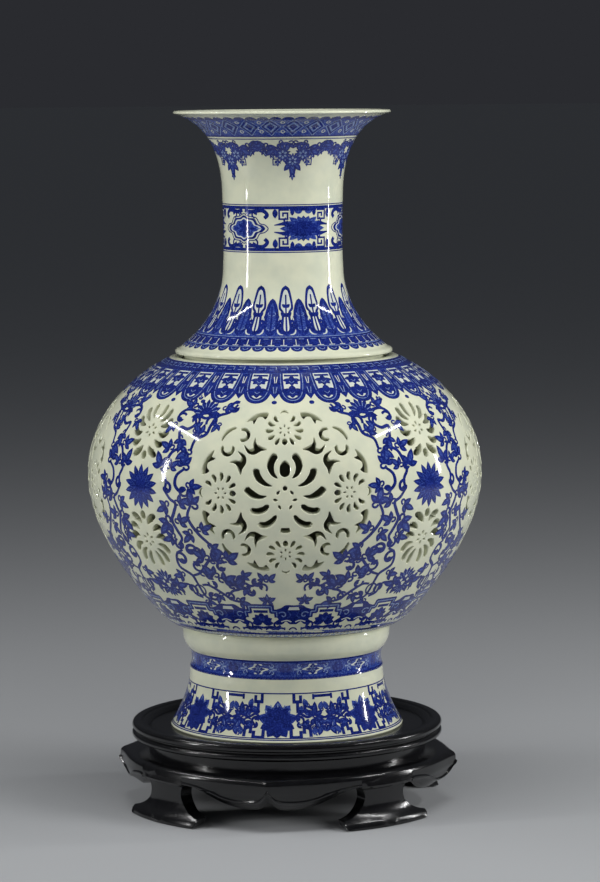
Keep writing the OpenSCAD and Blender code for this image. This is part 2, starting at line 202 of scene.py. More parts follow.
@dataclass
class Outline:
    """Half section of a turned form, walked upwards, with its outside on the right."""

    points: Array
    run: Array = field(init=False)

    def __post_init__(self) -> None:
        """Measures the length along the outline."""
        steps = np.linalg.norm(np.diff(self.points, axis=0), axis=1)
        self.points = self.points[np.concatenate([[True], steps > 1e-6])]
        steps = np.linalg.norm(np.diff(self.points, axis=0), axis=1)
        self.run = np.concatenate([[0], np.cumsum(steps)])

    def along_at(self, z: float) -> float:
        """Returns the length along the outline at a height."""
        return float(np.interp(z, self.points[:, 1], self.run))

    def radius_at(self, z: float) -> float:
        """Returns the outline's radius at a height."""
        return float(np.interp(z, self.points[:, 1], self.points[:, 0]))

    def place(self, along: Array, off: Array) -> tuple[Array, Array]:
        """Finds points that stand off the outline.

        Args:
            along: Lengths along the outline.
            off: Distances off it, positive outwards.

        Returns:
            Radii and heights.
        """
        heading = np.gradient(self.points, self.run, axis=0)
        heading /= np.linalg.norm(heading, axis=1)[:, None]
        r, z, dr, dz = (np.interp(along, self.run, v) for v in (*self.points.T, *heading.T))
        past = along - np.clip(along, self.run[0], self.run[-1])
        return r + off * dz + past * dr, z - off * dr + past * dz


@dataclass
class Wrap:
    """Wraps flat drawings on a turned form, with x = 0 at the front."""

    outline: Outline
    zero: float
    radius: float

    def place(self, flat: Array) -> Array:
        """Returns points in metres for flat points x, y and z in millimetres."""
        angle = flat[:, 0] / self.radius
        r, z = self.outline.place(self.zero + flat[:, 1], flat[:, 2])
        return np.column_stack([r * np.sin(angle), -r * np.cos(angle), z]) * MM

    def span(self, low: float, high: float) -> float:
        """Returns the length along the outline between two heights."""
        return self.outline.along_at(high) - self.outline.along_at(low)


@dataclass
class Carving:
    """Wraps flat drawings on the stand's frieze: a section swept round a plan that comes to points."""

    outline: Outline
    turn: float
    radius: float
    inner: float
    point: float
    sharpness: float = 9.0

    def place(self, flat: Array) -> Array:
        """Returns points in metres for flat points, with x = 0 at the middle of an apron."""
        angle = np.degrees(flat[:, 0] / self.radius)
        off_centre = np.abs((angle + 45) % 90 - 45)
        r, z = self.outline.place(flat[:, 1], np.zeros(len(flat)))
        outwards = np.clip((r - self.inner) / (self.radius - self.inner), 0, 1)
        r = r + self.point * outwards * np.exp(-off_centre / self.sharpness) + flat[:, 2]
        a = np.radians(angle + self.turn)
        return np.column_stack([r * np.sin(a), -r * np.cos(a), z]) * MM


# ---------------------------------------------------------------------------------------------------------
# Finishes
# ---------------------------------------------------------------------------------------------------------

def linear(colour: str) -> tuple[float, float, float, float]:
    """Turns an sRGB hex colour to the linear values that a shader takes."""
    parts = [int(colour[i:i + 2], 16) / 255 for i in (1, 3, 5)]
    return (*(c / 12.92 if c <= 0.04045 else ((c + 0.055) / 1.055) ** 2.4 for c in parts), 1.0)


def add_node(tree: bpy.types.NodeTree, kind: str, settings: dict | None = None,
             **links: object) -> bpy.types.Node:
    """Adds a node with its settings and links.

    Args:
        tree: The material's or world's node tree.
        kind: Blender's name of the node.
        settings: Properties, or inputs by name, and the values they take.
        links: Inputs by name with spaces as underscores, and the output that feeds each.

    Returns:
        The new node.
    """
    node = tree.nodes.new(kind)
    for name, value in (settings or {}).items():
        if name in node.inputs:
            node.inputs[name].default_value = value
        else:
            setattr(node, name, value)
    for name, output in links.items():
        tree.links.new(output, node.inputs[name.replace("_", " ")])
    return node


@dataclass(frozen=True)
class Glaze:
    """Feldspathic porcelain glaze, fired to a gloss: a soft even shine with faint waves where it ran."""

    name: str
    light: str
    shade: str
    mottle: float = 14.0
    roughness: float = 0.08
    ripple: float = 0.02
    fine: str | None = None
    fine_mm: float = 1.2

    def material(self) -> bpy.types.Material:
        """Builds the material with its colour clouds and its ripple."""
        made = bpy.data.materials.new(self.name)
        made.use_nodes = True
        tree = made.node_tree
        tree.nodes.clear()
        place = add_node(tree, "ShaderNodeTexCoord")
        clouds = add_node(tree, "ShaderNodeTexNoise", {"Scale": 1 / (self.mottle * MM), "Detail": 3.0},
                          Vector=place.outputs["Object"])
        ramp = add_node(tree, "ShaderNodeValToRGB", Fac=clouds.outputs["Fac"])
        ramp.color_ramp.elements[0].position = 0.36
        ramp.color_ramp.elements[1].position = 0.64
        ramp.color_ramp.elements[0].color = linear(self.shade)
        ramp.color_ramp.elements[1].color = linear(self.light)
        colour = ramp.outputs["Color"]
        if self.fine:
            speck = add_node(tree, "ShaderNodeTexNoise", {"Scale": 1 / (self.fine_mm * MM), "Detail": 2.0},
                             Vector=place.outputs["Object"])
            amount = add_node(tree, "ShaderNodeMapRange", {"From Min": 0.45, "From Max": 0.7},
                              Value=speck.outputs["Fac"])
            mix = add_node(tree, "ShaderNodeMix", {"data_type": "RGBA"})
            mix.inputs[7].default_value = linear(self.fine)
            tree.links.new(amount.outputs["Result"], mix.inputs[0])
            tree.links.new(colour, mix.inputs[6])
            colour = mix.outputs[2]
        waves = add_node(tree, "ShaderNodeTexNoise", {"Scale": 1 / (9 * MM), "Detail": 1.0},
                         Vector=place.outputs["Object"])
        bump = add_node(tree, "ShaderNodeBump", {"Strength": self.ripple, "Distance": 0.4 * MM},
                        Height=waves.outputs["Fac"])
        shader = add_node(tree, "ShaderNodeBsdfPrincipled",
                          {"Roughness": self.roughness, "IOR": 1.5, "Coat Weight": 0.3,
                           "Coat Roughness": 0.04},
                          Base_Color=colour, Normal=bump.outputs["Normal"])
        add_node(tree, "ShaderNodeOutputMaterial", Surface=shader.outputs["BSDF"])
        return made


@dataclass(frozen=True)
class Lacquer:
    """Black lacquer over close-grained hardwood: near black, glossy, with faint grain lines and brush
    marks."""

    name: str
    light: str
    dark: str
    roughness: float = 0.2
    grain_mm: float = 1.6

    def material(self) -> bpy.types.Material:
        """Builds the material with its grain in colour, gloss and relief."""
        made = bpy.data.materials.new(self.name)
        made.use_nodes = True
        tree = made.node_tree
        tree.nodes.clear()
        place = add_node(tree, "ShaderNodeTexCoord")
        stretch = add_node(tree, "ShaderNodeMapping", {"Scale": (0.12, 1.0, 1.0)},
                           Vector=place.outputs["Object"])
        grain = add_node(tree, "ShaderNodeTexNoise", {"Scale": 1 / (self.grain_mm * MM), "Detail": 4.0},
                         Vector=stretch.outputs["Vector"])
        ramp = add_node(tree, "ShaderNodeValToRGB", Fac=grain.outputs["Fac"])
        ramp.color_ramp.elements[0].position = 0.4
        ramp.color_ramp.elements[1].position = 0.62
        ramp.color_ramp.elements[0].color = linear(self.dark)
        ramp.color_ramp.elements[1].color = linear(self.light)
        wear = add_node(tree, "ShaderNodeTexNoise", {"Scale": 1 / (22 * MM), "Detail": 2.0},
                        Vector=place.outputs["Object"])
        gloss = add_node(tree, "ShaderNodeMapRange", {"To Min": self.roughness - 0.07,
                                                      "To Max": self.roughness + 0.09},
                         Value=wear.outputs["Fac"])
        bump = add_node(tree, "ShaderNodeBump", {"Strength": 0.12, "Distance": 0.2 * MM},
                        Height=grain.outputs["Fac"])
        shader = add_node(tree, "ShaderNodeBsdfPrincipled", {"IOR": 1.5, "Coat Weight": 0.25,
                                                             "Coat Roughness": 0.12},
                          Base_Color=ramp.outputs["Color"], Roughness=gloss.outputs["Result"],
                          Normal=bump.outputs["Normal"])
        add_node(tree, "ShaderNodeOutputMaterial", Surface=shader.outputs["BSDF"])
        return made


class Tone(Enum):
    """Tones of the cobalt painting, in the order of a painted piece's material slots."""

    DARK = 0
    MID = 1
    PALE = 2
    WHITE = 3


@dataclass(frozen=True)
class Finishes:
    """Every finish on the object, made once."""

    porcelain: Glaze = Glaze("ivory_porcelain_glaze", "#DEE0C6", "#D3D7C0", roughness=0.07)
    # The liner's dark olive is painted shade: the inner vase's white glaze, darkened for the shade it sits in
    # behind the piercing.
    liner: Glaze = Glaze("liner_glaze_darkened_as_painted_shade", "#6E6F58", "#5C5E4A", roughness=0.2)
    dark: Glaze = Glaze("cobalt_line_under_glaze", "#162474", "#0E195C", mottle=5.0, fine="#263A90",
                        fine_mm=0.9)
    mid: Glaze = Glaze("cobalt_wash_under_glaze", "#25398F", "#1B2D7E", mottle=5.0, fine="#5069AE",
                       fine_mm=0.8)
    pale: Glaze = Glaze("thin_cobalt_wash_under_glaze", "#7389B8", "#5A72A8", mottle=6.0, fine="#9AA9C6")
    white: Glaze = Glaze("reserved_white_glaze", "#D6DAD0", "#C6CEC8", mottle=8.0)
    ebony: Lacquer = Lacquer("black_lacquered_hardwood", "#101012", "#070708")
    dowel: Lacquer = Lacquer("turned_hardwood_dowel", "#6B4A2E", "#4E331F", roughness=0.5)


class Palette:
    """The finishes as Blender materials."""

    def __init__(self, finishes: Finishes) -> None:
        """Makes each finish's material."""
        self.porcelain = finishes.porcelain.material()
        self.liner = finishes.liner.material()
        self.tones = [f.material() for f in (finishes.dark, finishes.mid, finishes.pale, finishes.white)]
        self.ebony = finishes.ebony.material()
        self.dowel = finishes.dowel.material()


# ---------------------------------------------------------------------------------------------------------
# Making pieces
# ---------------------------------------------------------------------------------------------------------

def make_piece(name: str, bm: bmesh.types.BMesh, materials: list[bpy.types.Material], body: str,
               replaces: tuple[str, ...] = (), sharp: float = 32.0) -> bpy.types.Object:
    """Turns a bmesh in metres into a piece of the object.

    Args:
        name: The piece's name.
        bm: Its mesh, which is freed.
        materials: Its material slots.
        body: The CAD body it rides on.
        replaces: CAD nodes that it stands for.
        sharp: Edges that turn by more than this many degrees stay sharp.

    Returns:
        The new object.
    """
    mesh = bpy.data.meshes.new(name)
    bm.to_mesh(mesh)
    bm.free()
    mesh.shade_smooth()
    mesh.set_sharp_from_angle(angle=math.radians(sharp))
    for material in materials:
        mesh.materials.append(material)
    piece = bpy.data.objects.new(name, mesh)
    bpy.context.scene.collection.objects.link(piece)
    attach(piece, body)
    if replaces:
        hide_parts(*replaces)
    LOG.info("%s: %d faces on body %s", name, len(mesh.polygons), body)
    return piece


def spun(section: Array, steps: int = 256, start: float = 0, sweep: float = 360) -> bmesh.types.BMesh:
    """Spins a closed half section round the z axis.

    Args:
        section: Radii and heights in millimetres, the outside walked upwards.
        steps: Number of steps in the spin.
        start: Angle at which the spin starts, in degrees from the front towards +X.
        sweep: Angle of the spin in degrees.

    Returns:
        A closed mesh in metres.
    """
    bm = bmesh.new()
    a = math.radians(start)
    ring = [bm.verts.new((r * math.sin(a) * MM, -r * math.cos(a) * MM, z * MM)) for r, z in section]
    full = sweep >= 360
    edges = [bm.edges.new((p, q)) for p, q in zip(ring, ring[1:])]
    closed = section[0][0] > 0.01 and section[-1][0] > 0.01
    if closed:
        edges.append(bm.edges.new((ring[-1], ring[0])))
    start_face = bm.faces.new(ring) if not full else None
    geom = edges + ring + ([start_face] if start_face else [])
    bmesh.ops.spin(bm, geom=geom, cent=(0, 0, 0), axis=(0, 0, 1), dvec=(0, 0, 0),
                   angle=math.radians(sweep), steps=steps, use_merge=full, use_duplicate=False)
    bmesh.ops.remove_doubles(bm, verts=bm.verts, dist=0.002 * MM)
    bmesh.ops.recalc_face_normals(bm, faces=bm.faces)
    return bm


def wrap_mesh(bm: bmesh.types.BMesh, surface: Wrap | Carving) -> None:
    """Moves every vertex of a flat mesh to its place on a surface."""
    flat = np.array([v.co for v in bm.verts], float).reshape(-1, 3)
    for vert, place in zip(bm.verts, surface.place(flat)):
        vert.co = place


def grid_cut(bm: bmesh.types.BMesh, step: float) -> None:
    """Cuts flat faces along lines that lie a step apart both ways, so that they can bend."""
    flat = np.array([v.co for v in bm.verts], float).reshape(-1, 3)
    for axis in (0, 1):
        low, high = flat[:, axis].min(), flat[:, axis].max()
        normal = (1, 0, 0) if axis == 0 else (0, 1, 0)
        for k in range(math.floor(low / step) + 1, math.ceil(high / step)):
            where = (k * step, 0, 0) if axis == 0 else (0, k * step, 0)
            bmesh.ops.bisect_plane(bm, geom=bm.verts[:] + bm.edges[:] + bm.faces[:], dist=1e-5,
                                   plane_co=where, plane_no=normal)


class Drawing:
    """A flat drawing in millimetres that becomes thin painting on a surface."""

    LAYER = 0.035
    DEPTH = 0.15

    def __init__(self, grid: float = 3.0) -> None:
        """Starts an empty drawing whose fills are cut along a grid of that step."""
        self.bm = bmesh.new()
        self.grid = grid

    def fill(self, outline: Array, tone: Tone, level: int = 1) -> None:
        """Fills a closed outline with a tone."""
        small = bmesh.new()
        small.faces.new([small.verts.new((x, y, 0)) for x, y in outline])
        if np.ptp(outline, axis=0).max() > 1.6 * self.grid:
            bmesh.ops.triangulate(small, faces=small.faces[:])
            grid_cut(small, self.grid)
        bmesh.ops.triangulate(small, faces=[f for f in small.faces if len(f.verts) > 4])
        self._join(small, tone, level)

    def box(self, left: float, right: float, low: float, high: float, tone: Tone, level: int = 0) -> None:
        """Fills an upright rectangle with a tone."""
        self.fill(np.array([(left, low), (right, low), (right, high), (left, high)]), tone, level)

    def line(self, line: Array, width: float, tone: Tone = Tone.DARK, level: int = 3,
             taper: Pair = (1, 1), closed: bool = False) -> None:
        """Draws a brush line.

        Args:
            line: Its middle line.
            width: Its width in the middle.
            tone: Its tone.
            level: The layer it lies in; higher layers cover lower ones.
            taper: Width of the start and of the end, as a share of the width.
            closed: Whether it ends where it starts.
        """
        line = np.array(line, float)
        if not closed:
            line = resampled(line, self.grid)
        small = bmesh.new()
        if closed:
            left, right = sides(line, width, True)
        else:
            swell = np.interp(np.linspace(0, 1, len(line)), [0, 0.45, 1], [taper[0], 1, taper[1]])
            left, right = sides(line, width * swell)
        pairs = [(small.verts.new((*p, 0)), small.verts.new((*q, 0))) for p, q in zip(left, right)]
        follow = pairs[1:] + (pairs[:1] if closed else [])
        for (a, b), (c, d) in zip(pairs, follow):
            small.faces.new((a, b, d, c))
        self._join(small, tone, level)

    def _join(self, small: bmesh.types.BMesh, tone: Tone, level: int) -> None:
        """Adds a small mesh to the drawing in one tone and layer, with its faces upwards."""
        small.normal_update()
        for face in small.faces:
            if face.normal.z < 0:
                face.normal_flip()
            face.material_index = tone.value
        for vert in small.verts:
            vert.co.z = (level + 1) * self.LAYER
        mesh = bpy.data.meshes.new("stroke")
        small.to_mesh(mesh)
        small.free()
        self.bm.from_mesh(mesh)
        bpy.data.meshes.remove(mesh)

    def stamp(self, motif: "Drawing", at: Pair = (0, 0), turn: float = 0, size: float = 1,
              flip: bool = False) -> None:
        """Adds a copy of another drawing.

        Args:
            motif: The drawing to copy.
            at: Where its origin goes.
            turn: Degrees it is turned by, anticlockwise.
            size: Share it is scaled by.
            flip: Whether it is mirrored in its own y axis first.
        """
        before = len(self.bm.verts)
        self.bm.from_mesh(motif.mesh())
        self.bm.verts.ensure_lookup_table()
        place = Matrix.Translation((*at, 0)) @ Matrix.Rotation(math.radians(turn), 4, "Z") \
            @ Matrix.Diagonal((-size if flip else size, size, 1, 1))
        new = self.bm.verts[before:]
        bmesh.ops.transform(self.bm, matrix=place, verts=new)
        if flip:
            faces = {f for v in new for f in v.link_faces}
            bmesh.ops.reverse_faces(self.bm, faces=list(faces))

    def mesh(self) -> bpy.types.Mesh:
        """Returns the drawing as a mesh, made once."""
        if not hasattr(self, "_mesh"):
            self._mesh = bpy.data.meshes.new("motif")
            self.bm.to_mesh(self._mesh)
        return self._mesh

    def lay_on(self, surface: Wrap, name: str, palette: Palette, body: str) -> bpy.types.Object:
        """Thickens the drawing into the glaze and wraps it on a surface.

        Args:
            surface: Where it goes.
            name: Name of the piece.
            palette: The materials.
            body: The CAD body it rides on.

        Returns:
            The painted piece.
        """
        bm = self.bm
        sheet = bm.faces[:]
        grown = bmesh.ops.extrude_face_region(bm, geom=sheet)["geom"]
        tops = [v for v in grown if isinstance(v, bmesh.types.BMVert)]
        top_set = set(tops)
        for vert in bm.verts:
            if vert not in top_set:
                vert.co.z = -self.DEPTH
        bmesh.ops.recalc_face_normals(bm, faces=bm.faces)
        wrap_mesh(bm, surface)
        return make_piece(name, bm, palette.tones, body, sharp=50)


# ---------------------------------------------------------------------------------------------------------
# The vase
# ---------------------------------------------------------------------------------------------------------

@dataclass
class VaseForm:
    """Sizes of the four fired pieces, in millimetres, read from the frame where it gives them."""

    seat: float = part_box("foot_base")[0].z / MM
    joint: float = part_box("outer_body")[0].z / MM
    mouth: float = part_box("outer_body")[1].z / MM
    top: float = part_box("neck_section")[1].z / MM
    belly_r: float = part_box("outer_body")[1].x / MM
    foot_r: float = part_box("foot_base")[1].x / MM
    liner_top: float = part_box("inner_vase")[1].z / MM
    belly_up: float = 114.5
    stem_r: float = 63.0
    band_h: float = 12.0
    band_depth: float = 1.6
    bead_r: float = 67.5
    bead_h: float = 15.5
    basin_r: float = 80.0
    basin_up: float = 6.0
    rebate_r: float = 57.3
    rebate_h: float = 6.3
    rebate_in: float = 52.0
    body_wall: float = 5.0
    bore_r: float = 66.3
    rim_w: float = 7.9
    seam: float = 1.7
    flange_over: float = 4.2
    rim_r: float = 70.0
    throat_r: float = 38.4
    straight_low: float = 56.0
    straight_high: float = 101.0
    neck_wall: float = 5.0
    lip_depth: float = 7.0
    lip_clear: float = 1.6
    lip_wall: float = 4.4
    ledge_w: float = 2.8
    notch_w: float = 13.2
    notch_h: float = 6.4

    def __post_init__(self) -> None:
        """Works out the joints and the outlines."""
        self.flange = self.mouth + self.seam
        self.belly_z = self.joint + self.belly_up
        self.flange_r = self.bore_r + self.flange_over
        stem = (self.stem_r, self.joint - self.band_h)
        joint = (self.stem_r + 0.6, self.joint)
        flare = (self.foot_r, self.seat + 1)
        back = 1.3 * self.band_depth
        self.foot = Outline(np.vstack([
            cubic(flare, share(flare, stem, 0.69, 0.39), share(flare, stem, 0.98, 0.62), stem, 40),
            cubic(stem, (stem[0] - back, stem[1] + 3), (joint[0] - back, joint[1] - 3), joint, 14)]))
        bead = (self.bead_r - 1, self.joint + self.bead_h)
        self.basin = (self.basin_r, bead[1] + self.basin_up)
        self.bead_line = np.vstack([
            cubic(joint, (joint[0] + 4.5, joint[1] + self.bead_h * 0.3),
                  (bead[0] + 2, bead[1] - self.bead_h * 0.2),
                  bead, 14),
            cubic(bead, (bead[0] + (self.basin_r - self.bead_r) * 0.5, bead[1] + 0.4),
                  (self.basin[0] - 4, self.basin[1] - 3.2), self.basin, 10)])
        belly = (self.belly_r, self.belly_z)
        rim = (self.bore_r + self.rim_w, self.mouth - 1)
        self.body = Outline(np.vstack([
            cubic(self.basin, share(self.basin, belly, 0.46, 0.25), share(self.basin, belly, 1, 0.63), belly,
                  90),
            cubic(belly, share(belly, rim, 0, 0.4), share(belly, rim, 0.37, 0.78), rim, 90)]))
        low = (self.throat_r + 0.5, self.flange + self.straight_low)
        high = (self.throat_r + 0.6, self.flange + self.straight_high)
        foot = (self.flange_r - 3, self.flange + 3.6)
        end = (self.rim_r, self.top - 2)
        self.neck = Outline(np.vstack([
            cubic(foot, share(foot, low, 0.68, 0.28), share(foot, low, 1, 0.62), low, 60),
            cubic(low, (low[0] - 0.8, low[1] + 15), (high[0] - 0.8, high[1] - 15), high, 24),
            cubic(high, share(high, end, 0, 0.51), share(high, end, 0.29, 0.89), end, 70)]))


class Neck:
    """The neck piece: trumpet rim, neck, shoulder flange and the lip that locates it."""

    def __init__(self, form: VaseForm, palette: Palette) -> None:
        """Keeps the sizes and the materials."""
        self.form = form
        self.palette = palette

    def shell(self) -> None:
        """Spins the neck's closed section."""
        f = self.form
        lip_out = f.bore_r - f.lip_clear
        lip_in = lip_out - f.lip_wall
        inner_r, inner_z = f.neck.place(f.neck.run, np.full(len(f.neck.run), -f.neck_wall))
        keep = (inner_z > f.liner_top + 5) & (inner_z < f.top - 3)
        inner = np.column_stack([inner_r, inner_z])[keep][::-1]
        rim = cubic((f.rim_r, f.top - 2), (f.rim_r + 0.9, f.top - 0.2), (f.rim_r - 2.2, f.top + 0.4),
                    (f.rim_r - 4.5, f.top - 0.9), 8)
        flange = np.array([(f.flange_r - 1.0, f.flange), (f.flange_r - 0.25, f.flange + 0.3),
                           (f.flange_r, f.flange + 1.0), (f.flange_r - 0.1, f.flange + 1.9),
                           (f.flange_r - 1.0, f.flange + 2.9)])
        lip_end = f.flange - f.lip_depth
        section = np.vstack([[(lip_out - 0.6, lip_end), (lip_out, lip_end + 0.6), (lip_out, f.flange)],
                             flange,
                             f.neck.points, rim[1:], inner,
                             [(lip_in - f.ledge_w, f.liner_top), (lip_in, f.liner_top), (lip_in, lip_end)]])
        section[:, 1] = np.minimum(section[:, 1], f.top)
        shell = spun(section)
        for vert in shell.verts:
            x, y, z = vert.co / MM
            if lip_in - 0.5 < x < lip_out + 0.5 and abs(y) < f.notch_w / 2 and z < lip_end + 1:
                vert.co.z += f.notch_h * MM
        make_piece("neck_shell", shell, [self.palette.porcelain], "neck",
                   ("neck_section",), sharp=40)


class InnerVase:
    """The plain inner vase, glimpsed through the piercing."""

    def __init__(self, palette: Palette) -> None:
        """Keeps the materials."""
        self.palette = palette

    def dress(self) -> None:
        """Gives the inner vase a plain glaze in a dark olive, which is painted shade standing for white glaze
        in the shade behind the piercing.
        """
        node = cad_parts["inner_vase"]
        node.data.materials.clear()
        node.data.materials.append(self.palette.liner)


class Foot:
    """The foot with its recessed band."""

    def __init__(self, form: VaseForm, palette: Palette) -> None:
        """Keeps the sizes and the materials."""
        self.form = form
        self.palette = palette

    def shell(self) -> None:
        """Spins the foot's closed section."""
        f = self.form
        spigot_r, spigot_wall, spigot_h = 57.0, 5.0, 6.0
        floor_low, floor_high = f.seat + 20, f.seat + 26
        socket_r, socket_out, socket_z, boss_z = 6.3, 13.3, f.seat + 24, f.seat + 34
        section = np.vstack([
            [(f.foot_r - 1, f.seat)], f.foot.points,
            [(spigot_r, f.joint), (spigot_r, f.joint + spigot_h),
             (spigot_r - spigot_wall, f.joint + spigot_h),
             (spigot_r - spigot_wall, floor_high + 4), (spigot_r - spigot_wall - 4, floor_high),
             (socket_out, floor_high), (socket_out - 1, boss_z), (socket_r, boss_z), (socket_r, socket_z),
             (0, socket_z)],
        ])
        under = [(f.foot_r - 6, f.seat), (f.foot_r - 8, f.seat + 3), (f.stem_r - 8, floor_low - 4),
                 (f.stem_r - 12, floor_low), (0, floor_low)]
        full = np.vstack([under[::-1], section])
        make_piece("foot_shell", spun(full), [self.palette.porcelain], "vase", ("foot_base",),
                   sharp=40)


class PiercedBody:
    """The belly, cut right through with four large roundels and eight small flowers."""

    STEPS = 256
    CHAMFER = 0.5

    def __init__(self, form: VaseForm, palette: Palette) -> None:
        """Keeps the sizes and finds the surface that holes and painting are laid on."""
        self.form = form
        self.palette = palette
        self.wrap = Wrap(form.body, form.body.along_at(form.belly_z), form.belly_r)
        self.quarter = form.belly_r * math.pi / 2

    def centre_flower(self) -> list[Array]:
        """Outlines of the holes of the roundel's middle flower."""
        holes = [smooth([(0, 10.4), (2.9, 12.2), (3.0, 17.6), (0, 20.6), (-3.0, 17.6), (-2.9, 12.2)], 4,
                        True),
                 np.array([(-2.6, -21.9), (2.6, -21.9), (3.3, -24.6), (1.6, -25.4), (-1.6, -25.4),
                           (-3.3, -24.6)])]
        petals = (([(-4.6, 9.6), (-7.6, 12.6), (-9.0, 17.4), (-7.6, 21.9), (-5.2, 24.4)], 4.6, (0.25, 1.0)),
                  ([(-8.0, 4.8), (-12.2, 6.2), (-16.0, 9.4), (-17.8, 13.2), (-17.7, 15.6)], 4.3, (0.2, 1.0)),
                  ([(-11.3, -1.4), (-15.6, -2.0), (-20.0, -0.4), (-23.2, 2.2), (-24.4, 3.6)], 4.6,
                   (0.2, 0.9)),
                  ([(-10.2, -7.0), (-13.4, -9.8), (-17.6, -11.0), (-21.8, -10.2)], 4.2, (0.75, 0.9)),
                  ([(-5.6, -13.6), (-8.2, -17.2), (-12.4, -19.8), (-17.2, -19.6)], 4.2, (0.55, 0.95)))
        for points, width, taper in petals:
            line = smooth(points, 4)
            for flip in (False, True):
                holes.append(turned(outline_of(line, width, taper), flip=flip))
        holes.append(circle((0, 3.4), 1.5, 12))
        for x, y, angle in ((4.2, 0.8, 40), (6.0, -3.8, 100), (3.4, -8.4, 150)):
            seed = turned(smooth([(0, -1.5), (0.9, -0.3), (0, 1.6), (-0.9, -0.3)], 3, True), angle, 1, (x, y))
            holes += [seed, turned(seed, flip=True)]
        return holes

    def side_flower(self) -> list[Array]:
        """Outlines of one of the four smaller flowers, with its big hole at the bottom."""
        holes = [smooth([(0, -5.6), (1.6, -6.6), (1.6, -8.6), (0, -9.8), (-1.6, -8.6), (-1.6, -6.6)], 3,
                        True)]
        crescent = outline_of(arc((0, 10.6), 3.2, 150, 30, 8), 1.4, (0.3, 0.3))
        holes.append(crescent)
        for angle, near, far, bend in ((33, 7.4, 12.2, 1.0), (61, 7.2, 12.6, 1.0), (89, 7.4, 12.8, 0.8),
                                       (117, 7.4, 12.4, 0.4), (148, 6.2, 11.2, -0.2)):
            line = smooth([(0, near), (bend * 0.9, (near + far) / 2), (bend * 0.2, far)], 4)
            petal = turned(outline_of(line, 2.3, (0.4, 1.0)), -angle)
            holes += [petal, turned(petal, flip=True)]
        for angle in (0, 62, 118, 180, 242, 298):
            holes.append(turned(smooth([(0, 2.3), (0.55, 3.1), (0, 4.0), (-0.55, 3.1)], 3, True), angle))
        return holes

    def corner_scrolls(self) -> list[Array]:
        """Outlines of the scrolls between two side flowers, for half of the upper left corner."""
        hook = outline_of(arc((-27.9, 37.3), 3.7, 118, -118, 14), 2.5, (0.7, 0.75))
        leaf = smooth([(-19.3, 35.2), (-18.2, 31.2), (-11.6, 27.8), (-15.0, 26.8), (-19.6, 24.4),
                       (-24.0, 25.6),
                       (-26.4, 30.4), (-23.2, 27.8), (-20.4, 28.6), (-20.6, 31.4)], 3, True)
        band = smooth([(-26.6, 46.4), (-22.4, 50.6), (-17.0, 52.9), (-11.4, 52.7), (-13.4, 48.4),
                       (-15.6, 50.0),
                       (-18.8, 49.6), (-21.4, 44.8), (-22.6, 47.4)], 3, True)
        return [hook, leaf, band]

    def roundel(self) -> list[Array]:
        """Outlines of all the holes of one large roundel, about its middle."""
        holes = self.centre_flower()
        for k in range(4):
            for hole in self.side_flower():
                holes.append(turned(turned(hole, at=(0, 40.4)), 90 * k))
            corner = self.corner_scrolls()
            mirrored = [turned(turned(h, flip=True), 90) for h in corner]
            outer = outline_of(arc((-31.6, 31.6), 10.4, 172, 98, 14), 2.2, (0.55, 0.55))
            holes += [turned(h, 90 * k) for h in [*corner, *mirrored, outer]]
        return holes

    def floret(self) -> list[Array]:
        """Outlines of one of the eight small fan flowers, upright."""
        holes = [smooth([(0, -12.6), (1.6, -13.8), (1.6, -16.6), (0, -17.8), (-1.6, -16.6), (-1.6, -13.8)], 3,
                        True)]
        petals = (([(2.6, -9.8), (4.4, -12.4), (7.6, -14.2), (9.0, -13.4)], 4.4, (0.4, 1.0)),
                  ([(6.0, -6.0), (9.4, -8.4), (12.8, -8.0)], 3.8, (0.45, 1.0)),
                  ([(7.2, -1.6), (11.2, -2.8), (14.8, 0.2)], 3.8, (0.4, 1.0)),
                  ([(6.8, 2.6), (11.4, 3.8), (14.2, 8.2)], 3.4, (0.35, 1.0)),
                  ([(4.8, 5.6), (8.8, 8.8), (10.6, 14.4)], 3.2, (0.3, 1.0)),
                  ([(2.0, 7.4), (4.2, 11.6), (4.6, 17.2)], 2.8, (0.3, 1.0)))
        for points, width, taper in petals:
            hole = outline_of(smooth(points, 4), width, taper)
            holes += [hole, turned(hole, flip=True)]
        for k in range(6):
            holes.append(turned(smooth([(0, 2.2), (0.6, 3.2), (0, 4.3), (-0.6, 3.2)], 3, True), 60 * k))
        return holes

    def quarter_holes(self) -> list[Array]:
        """Outlines of all the holes in a quarter of the belly, about the front roundel."""
        holes = self.roundel()
        for turn, up in ((0, self.wrap.span(self.form.belly_z, self.form.belly_z + 36)),
                         (180, -self.wrap.span(self.form.belly_z - 33, self.form.belly_z))):
            holes += [turned(h, turn, 1.1, (self.quarter / 2, up)) for h in self.floret()]
        return holes

